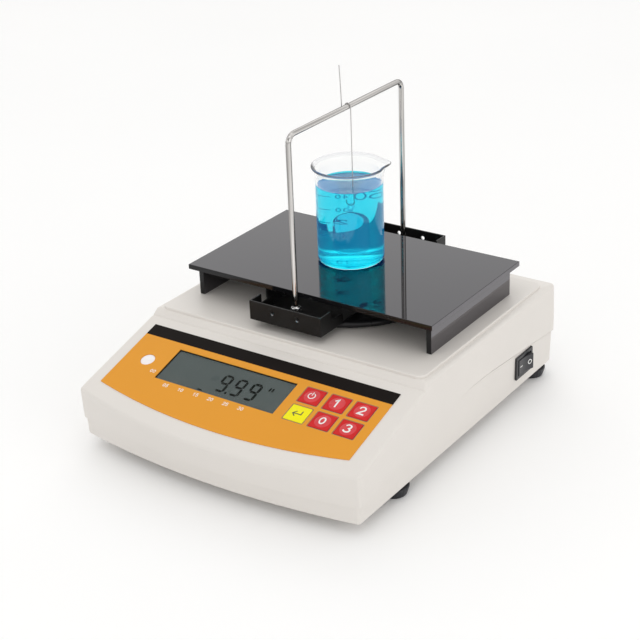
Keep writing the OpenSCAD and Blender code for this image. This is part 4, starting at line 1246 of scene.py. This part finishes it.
# --------------------------------------------------------------------------
# Rocker switch
# --------------------------------------------------------------------------
side = lambda a, b, h: (h, SW_Y + a, SW_Z + b)
bez = pad("switch_bezel", rrect(-10.5, 10.5, -7.5, 7.5, 0.6, 5), SW_X, SW_X + 1.2, 0.35, "black", side, seg=3)
body_ = box("t", -9.4, 9.4, -6.4, 6.4, SW_X - 15, SW_X + 0.3, "black", side)
cut(bez, [body_], "UNION")
cut(bez, [prism("t", rrect(-8.5, 8.5, -5.5, 5.5, 0.8, 4), SW_X - 13.6, SW_X + 5, "black", side)], angle=30)
put(bez, "casing", "black_plastic", "switch_housing")
prof = [(-2.2, -3.2), (1.6, -7.4), (5.3, -7.4), (5.66, -7.2), (5.45, -6.2), (5.15, -4.6), (4.85, -2.4), (4.65, 0.0), (4.85, 2.4),
        (5.15, 4.6), (5.45, 6.2), (5.66, 7.2), (5.3, 7.4), (1.6, 7.4), (-2.2, 3.2)]
ca, sa = cos(radians(-9)), sin(radians(-9))


def paddle(a, b, h):
    return (SW_P + a * ca - b * sa, SW_Y + a * sa + b * ca, SW_Z + h)


rk = prism("t", prof, -5.1, 5.1, "rocker", paddle, angle=30)
soften(rk, 0.35, 3, 50)


def rocker_x(y):
    t = abs(y)
    return interp([(0, 4.65), (2.4, 4.85), (4.6, 5.15), (6.2, 5.45), (7.2, 5.66)], t)


onr = lambda a, b, w: paddle(rocker_x(a) + w, a, b)
items = [(dense([(-5.6, 0.3), (-3.2, 0.3)], 0.4), 0.55, 0.04, onr, False, 0.0),
         (arc(4.2, 0.3, 1.35, 1.35, 0, 360, 30)[:-1], 0.5, 0.04, onr, True, 0.0)]
mk = strokes("t", items, "print")
pins = lathe("t", [(0, -6.0), (0.9, -6.0), (1.0, -5.9), (1.0, 5.9), (0.9, 6.0), (0, 6.0)], "rocker", (0, 0), n=24)
for v in pins.data.vertices:
    v.co = Vector((v.co.x + SW_P * 0.001, v.co.y + SW_Y * 0.001, v.co.z + SW_Z * 0.001))
rk = join("rocker_paddle", [rk, mk, pins], 35)
put(rk, "rocker", "black_plastic", "switch_rocker")

# --------------------------------------------------------------------------
# Feet
# --------------------------------------------------------------------------
for (fx, fy), nm in zip(FEET, ("foot_front_left", "foot_front_right", "foot_rear_left", "foot_rear_right")):
    prof = [(0, 0.5), (4.5, 0.5), (5.0, 0.0), (6.9, 0.0), (7.3, 0.25), (7.6, 0.8), (8.2, 2.6), (8.75, 4.4), (8.98, 5.3), (8.9, 5.8),
            (8.4, 6.1), (6.0, 6.15), (3.0, 6.15), (3.0, 18.5), (0, 18.5)]
    ft = lathe(nm + "_knob", prof, "rubber", (fx, fy), n=96, angle=40,
               lobes=lambda a, r, z: (0.012 * cos(24 * a) if 1.5 < z < 5.9 and r > 7 else 0.0) - (0.012 if 1.5 < z < 5.9 and r > 7 else 0))
    put(ft, nm, "foot_rubber", nm)


# --------------------------------------------------------------------------
# Screw heads and rear fittings
# --------------------------------------------------------------------------
def screw(cx, cy, z_under, z_top, r, shank, z_end, down=True, mat="zinc"):
    """Pan-head screw with a cross recess. z_under is the bearing face, z_top the crown."""
    s = 1 if z_top > z_under else -1
    h = abs(z_top - z_under)
    prof = [(0, z_end), (shank * 0.6, z_end), (shank, z_end - s * 0 + s * 0.4), (shank, z_under), (r, z_under), (r, z_under + s * h * 0.45),
            (r * 0.9, z_under + s * h * 0.78), (r * 0.6, z_under + s * h * 0.96), (0, z_top)]
    o = lathe("t", prof, mat, (cx, cy), n=32, angle=35)
    a, b = r * 0.62, r * 0.13
    z0, z1 = z_top - s * h * 0.6, z_top + s * 1
    t1 = box("t", cx - a, cx + a, cy - b, cy + b, min(z0, z1), max(z0, z1), mat)
    t2 = box("t", cx - b, cx + b, cy - a, cy + a, min(z0, z1), max(z0, z1), mat)
    cut(o, [t1, t2], angle=35)
    return o


case_scr = [screw(x, y, 7.4 + 3.2, 7.4 + 1.4, 3.1, 1.25, 27.8) for x, y in SCREWS]
put(join("casing_pan_screws", case_scr, 35), "casing", "zinc_screws", "casing_screws")
cell_scr = [screw(PAN[0], y, 8.7, 7.5, 4.0, 2.1, 33.2) for y in (5, 17)]
put(join("cell_pan_screws", cell_scr, 35), "casing", "zinc_screws", "load_cell_screws")
crad_scr = [screw(PAN[0], PAN[1] + y, 69.3, 70.9, 2.7, 1.5, 66.1) for y in (-8, 8)]
put(join("cradle_pan_screws", crad_scr, 35), "pan", "zinc_screws", "cradle_screws")

rear = lambda a, b, h: (a, h, b)
plate = pad("rear_panel", rrect(8.4, 83.6, 12.3, 26.1, 1.2, 5), 115.4, 117.0, 0.3, "black", rear, seg=2)
tools = [prism("t", arc(24, 19.2, 4.1, 4.1, 0, 360, 32)[:-1], 110, 125, "black", rear),
         box("t", 44.7, 64.3, 110, 125, 14.8, 23.6, "black")]
for x in (12.5, 79.5):
    tools.append(prism("t", arc(x, 19.2, 1.5, 1.5, 0, 360, 24)[:-1], 110, 125, "black", rear))
for x in (42, 67):
    tools.append(prism("t", arc(x, 19.2, 1.6, 1.6, 0, 360, 24)[:-1], 110, 125, "black", rear))
cut(plate, [join("tools", tools)], angle=30)
put(plate, "casing", "black_plastic", "rear_plate")

# D-shaped shell with nine sockets
def dee(cx, cz, w, h, s, r):
    pts = [(cx - w / 2, cz + h / 2), (cx + w / 2, cz + h / 2), (cx + w / 2 - s, cz - h / 2), (cx - w / 2 + s, cz - h / 2)]
    out = []
    m = len(pts)
    for i in range(m):
        a, b, c = Vector(pts[i - 1]), Vector(pts[i]), Vector(pts[(i + 1) % m])
        u1, u2 = (a - b).normalized(), (c - b).normalized()
        p, q = b + u1 * r, b + u2 * r
        for k in range(6):
            t = k / 5
            out.append(tuple(p * (1 - t) ** 2 + b * 2 * t * (1 - t) + q * t * t))
    return out


flange = pad("t", rrect(39, 70, 13.4, 25, 1.0, 4), 113.6, 115.4, 0.15, "tin", rear, seg=1)
shell_ = pad("t", dee(54.5, 19.2, 18.4, 8.2, 1.2, 1.6), 104, 118.4, 0.2, "tin", rear, seg=2)
core = dee(54.5, 19.2, 17.4, 7.2, 1.1, 1.3)
cut(shell_, [prism("t", core, 112, 130, "tin", rear)], angle=30)
tools = [prism("t", arc(x, 19.2, 1.55, 1.55, 0, 360, 24)[:-1], 110, 120, "tin", rear) for x in (42, 67)]
cut(flange, [join("tools", tools)], angle=30)
ins = pad("t", dee(54.5, 19.2, 16.2, 6.2, 1.0, 1.2), 110, 117.9, 0.15, "black", rear, seg=1)
tools = []
for k in range(5):
    tools.append(prism("t", arc(54.5 + (k - 2) * 2.77, 20.6, 0.55, 0.55, 0, 360, 14)[:-1], 114, 125, "black", rear))
for k in range(4):
    tools.append(prism("t", arc(54.5 + (k - 1.5) * 2.77, 17.8, 0.55, 0.55, 0, 360, 14)[:-1], 114, 125, "black", rear))
cut(ins, [join("tools", tools)], angle=30)
port = join("serial_socket", [flange, shell_, ins], 30)
put(port, "casing", "connector_metal", "serial_port")
so = []
for x in (42, 67):
    nut = hexnut(x, 19.2, 117, 118.6, 4.6, 1.1)
    for v in nut.data.vertices:
        c = v.co.copy()
        v.co = Vector((c.x, c.z, c.y))
    nut.data.flip_normals()
    so.append(nut)
    so.append(lathe("t", [(1.1, 111), (1.5, 111), (1.5, 117.0), (1.1, 117.0)], "zinc", (x, 19.2), n=24, axis="y"))
put(join("serial_hex_posts", so, 25), "casing", "zinc_screws", "serial_standoffs")
jack = lathe("t", [(2.75, 108), (2.75, 117.9), (3.2, 118.35), (4.9, 118.4), (5.4, 118.1), (5.4, 117), (4.05, 117), (4.05, 104), (2.75, 104)],
             "black", (24, 19.2), n=48, axis="y")
plug = lathe("t", [(0, 104.2), (2.9, 104.2), (2.9, 108), (1.0, 108), (1.0, 116.6), (0.7, 117.1), (0, 117.2)], "zinc", (24, 19.2), n=24, axis="y")
put(join("inlet_jack", [jack, plug], 30), "casing", "black_plastic", "power_inlet")
rs = []
for x in (12.5, 79.5):
    o = screw(0, 0, 0, 1.0, 2.4, 1.3, -7)
    for v in o.data.vertices:
        c = v.co.copy()
        v.co = Vector((c.x + x * 0.001, c.z + 0.117, c.y + 0.0192))
    o.data.flip_normals()
    rs.append(o)
put(join("rear_cross_screws", rs, 35), "casing", "zinc_screws", "rear_plate_screws")

# --------------------------------------------------------------------------
# Materials of the CAD pieces that stay
# --------------------------------------------------------------------------
KEEP = {
    "foot_inserts": "brass", "switch_terminals": "brass", "display_board": "board", "key_board": "board",
    "main_board": "board", "key_switches": "chip", "board_parts": "chip", "board_screws": "zinc",
    "ribbon_cable": "cable", "load_cell_block": "aluminium", "load_cell": "aluminium", "overload_stop": "zinc",
    "cell_bracket": "aluminium", "bracket_screws": "zinc", "pan_post": "polished", "inlet_nut": "zinc",
}
for nm, ob in NODES.items():
    m = M[KEEP.get(nm, "cream")]
    if not ob.material_slots:
        ob.data.materials.append(m)
    for s in ob.material_slots:
        s.material = m

# --------------------------------------------------------------------------
# Stage: floor, light, camera
# --------------------------------------------------------------------------
fm, nt, b = tree("pale_floor")
vec = coords(nt)
nt.links.new(two(nt, spread(nt, noise(nt, vec, 3), 0, 1), (0.975, 0.975, 0.975), (0.99, 0.99, 0.99)), b.inputs["Base Color"])
b.inputs["Roughness"].default_value = 0.7
me = bpy.data.meshes.new("floor")
me.from_pydata([(-6, -6, 0), (6, -6, 0), (6, 6, 0), (-6, 6, 0)], [], [(0, 1, 2, 3)])
me.materials.append(fm)
floor = bpy.data.objects.new("floor", me)
scene.collection.objects.link(floor)

world = bpy.data.worlds.new("studio")
scene.world = world
world.use_nodes = True
wn = world.node_tree
bg = wn.nodes["Background"]
tc = add(wn, "ShaderNodeTexCoord")
dot = add(wn, "ShaderNodeVectorMath", operation="DOT_PRODUCT")
dot.inputs[1].default_value = (-0.52, 0.735, 0.434)
wn.links.new(tc.outputs["Generated"], dot.inputs[0])
mr = add(wn, "ShaderNodeMapRange", interpolation_type="SMOOTHSTEP")
mr.inputs["From Min"].default_value = 0.80
mr.inputs["From Max"].default_value = 0.965
mr.inputs["To Min"].default_value = 0.855
mr.inputs["To Max"].default_value = 1.5
wn.links.new(dot.outputs["Value"], mr.inputs["Value"])
wn.links.new(mr.outputs["Result"], bg.inputs["Strength"])
bg.inputs["Color"].default_value = (1.0, 0.995, 0.985, 1)


def area(name, loc, target, size, power, color=(1, 1, 1)):
    li = bpy.data.lights.new(name, "AREA")
    li.shape = "RECTANGLE"
    li.size, li.size_y = size
    li.energy = power
    li.color = color
    ob = bpy.data.objects.new(name, li)
    ob.location = loc
    ob.rotation_mode = "QUATERNION"
    ob.rotation_quaternion = (Vector(target) - Vector(loc)).to_track_quat("-Z", "Y")
    scene.collection.objects.link(ob)
    return ob


area("side_light", (1.5, -0.35, 0.62), (0, 0, 0.05), (1.1, 0.7), 2.4)
area("front_light", (-0.2, -1.3, 0.95), (0, 0.02, 0.06), (1.3, 0.6), 0.5)
area("top_light", (0.1, -0.2, 1.9), (0, 0, 0.05), (1.6, 1.6), 3.0)

cam_data = bpy.data.cameras.new("camera")
cam_data.sensor_width = 36
cam_data.lens = 1527.3237 / 640 * 36
cam_data.clip_start, cam_data.clip_end = 0.01, 50
cam = bpy.data.objects.new("camera", cam_data)
scene.collection.objects.link(cam)
az, el, roll = radians(35.3726), radians(25.7229), radians(-2.2898)
back = Vector((sin(az) * cos(el), -cos(az) * cos(el), sin(el)))
right_ = Vector((cos(az), sin(az), 0))
up_ = back.cross(right_)
r2 = right_ * cos(roll) + up_ * sin(roll)
u2 = -right_ * sin(roll) + up_ * cos(roll)
cam.matrix_world = Matrix(((r2.x, u2.x, back.x, 0.47691), (r2.y, u2.y, back.y, -0.67076), (r2.z, u2.z, back.z, 0.45781),
                           (0, 0, 0, 1)))
scene.camera = cam
scene.view_settings.view_transform = "Standard"
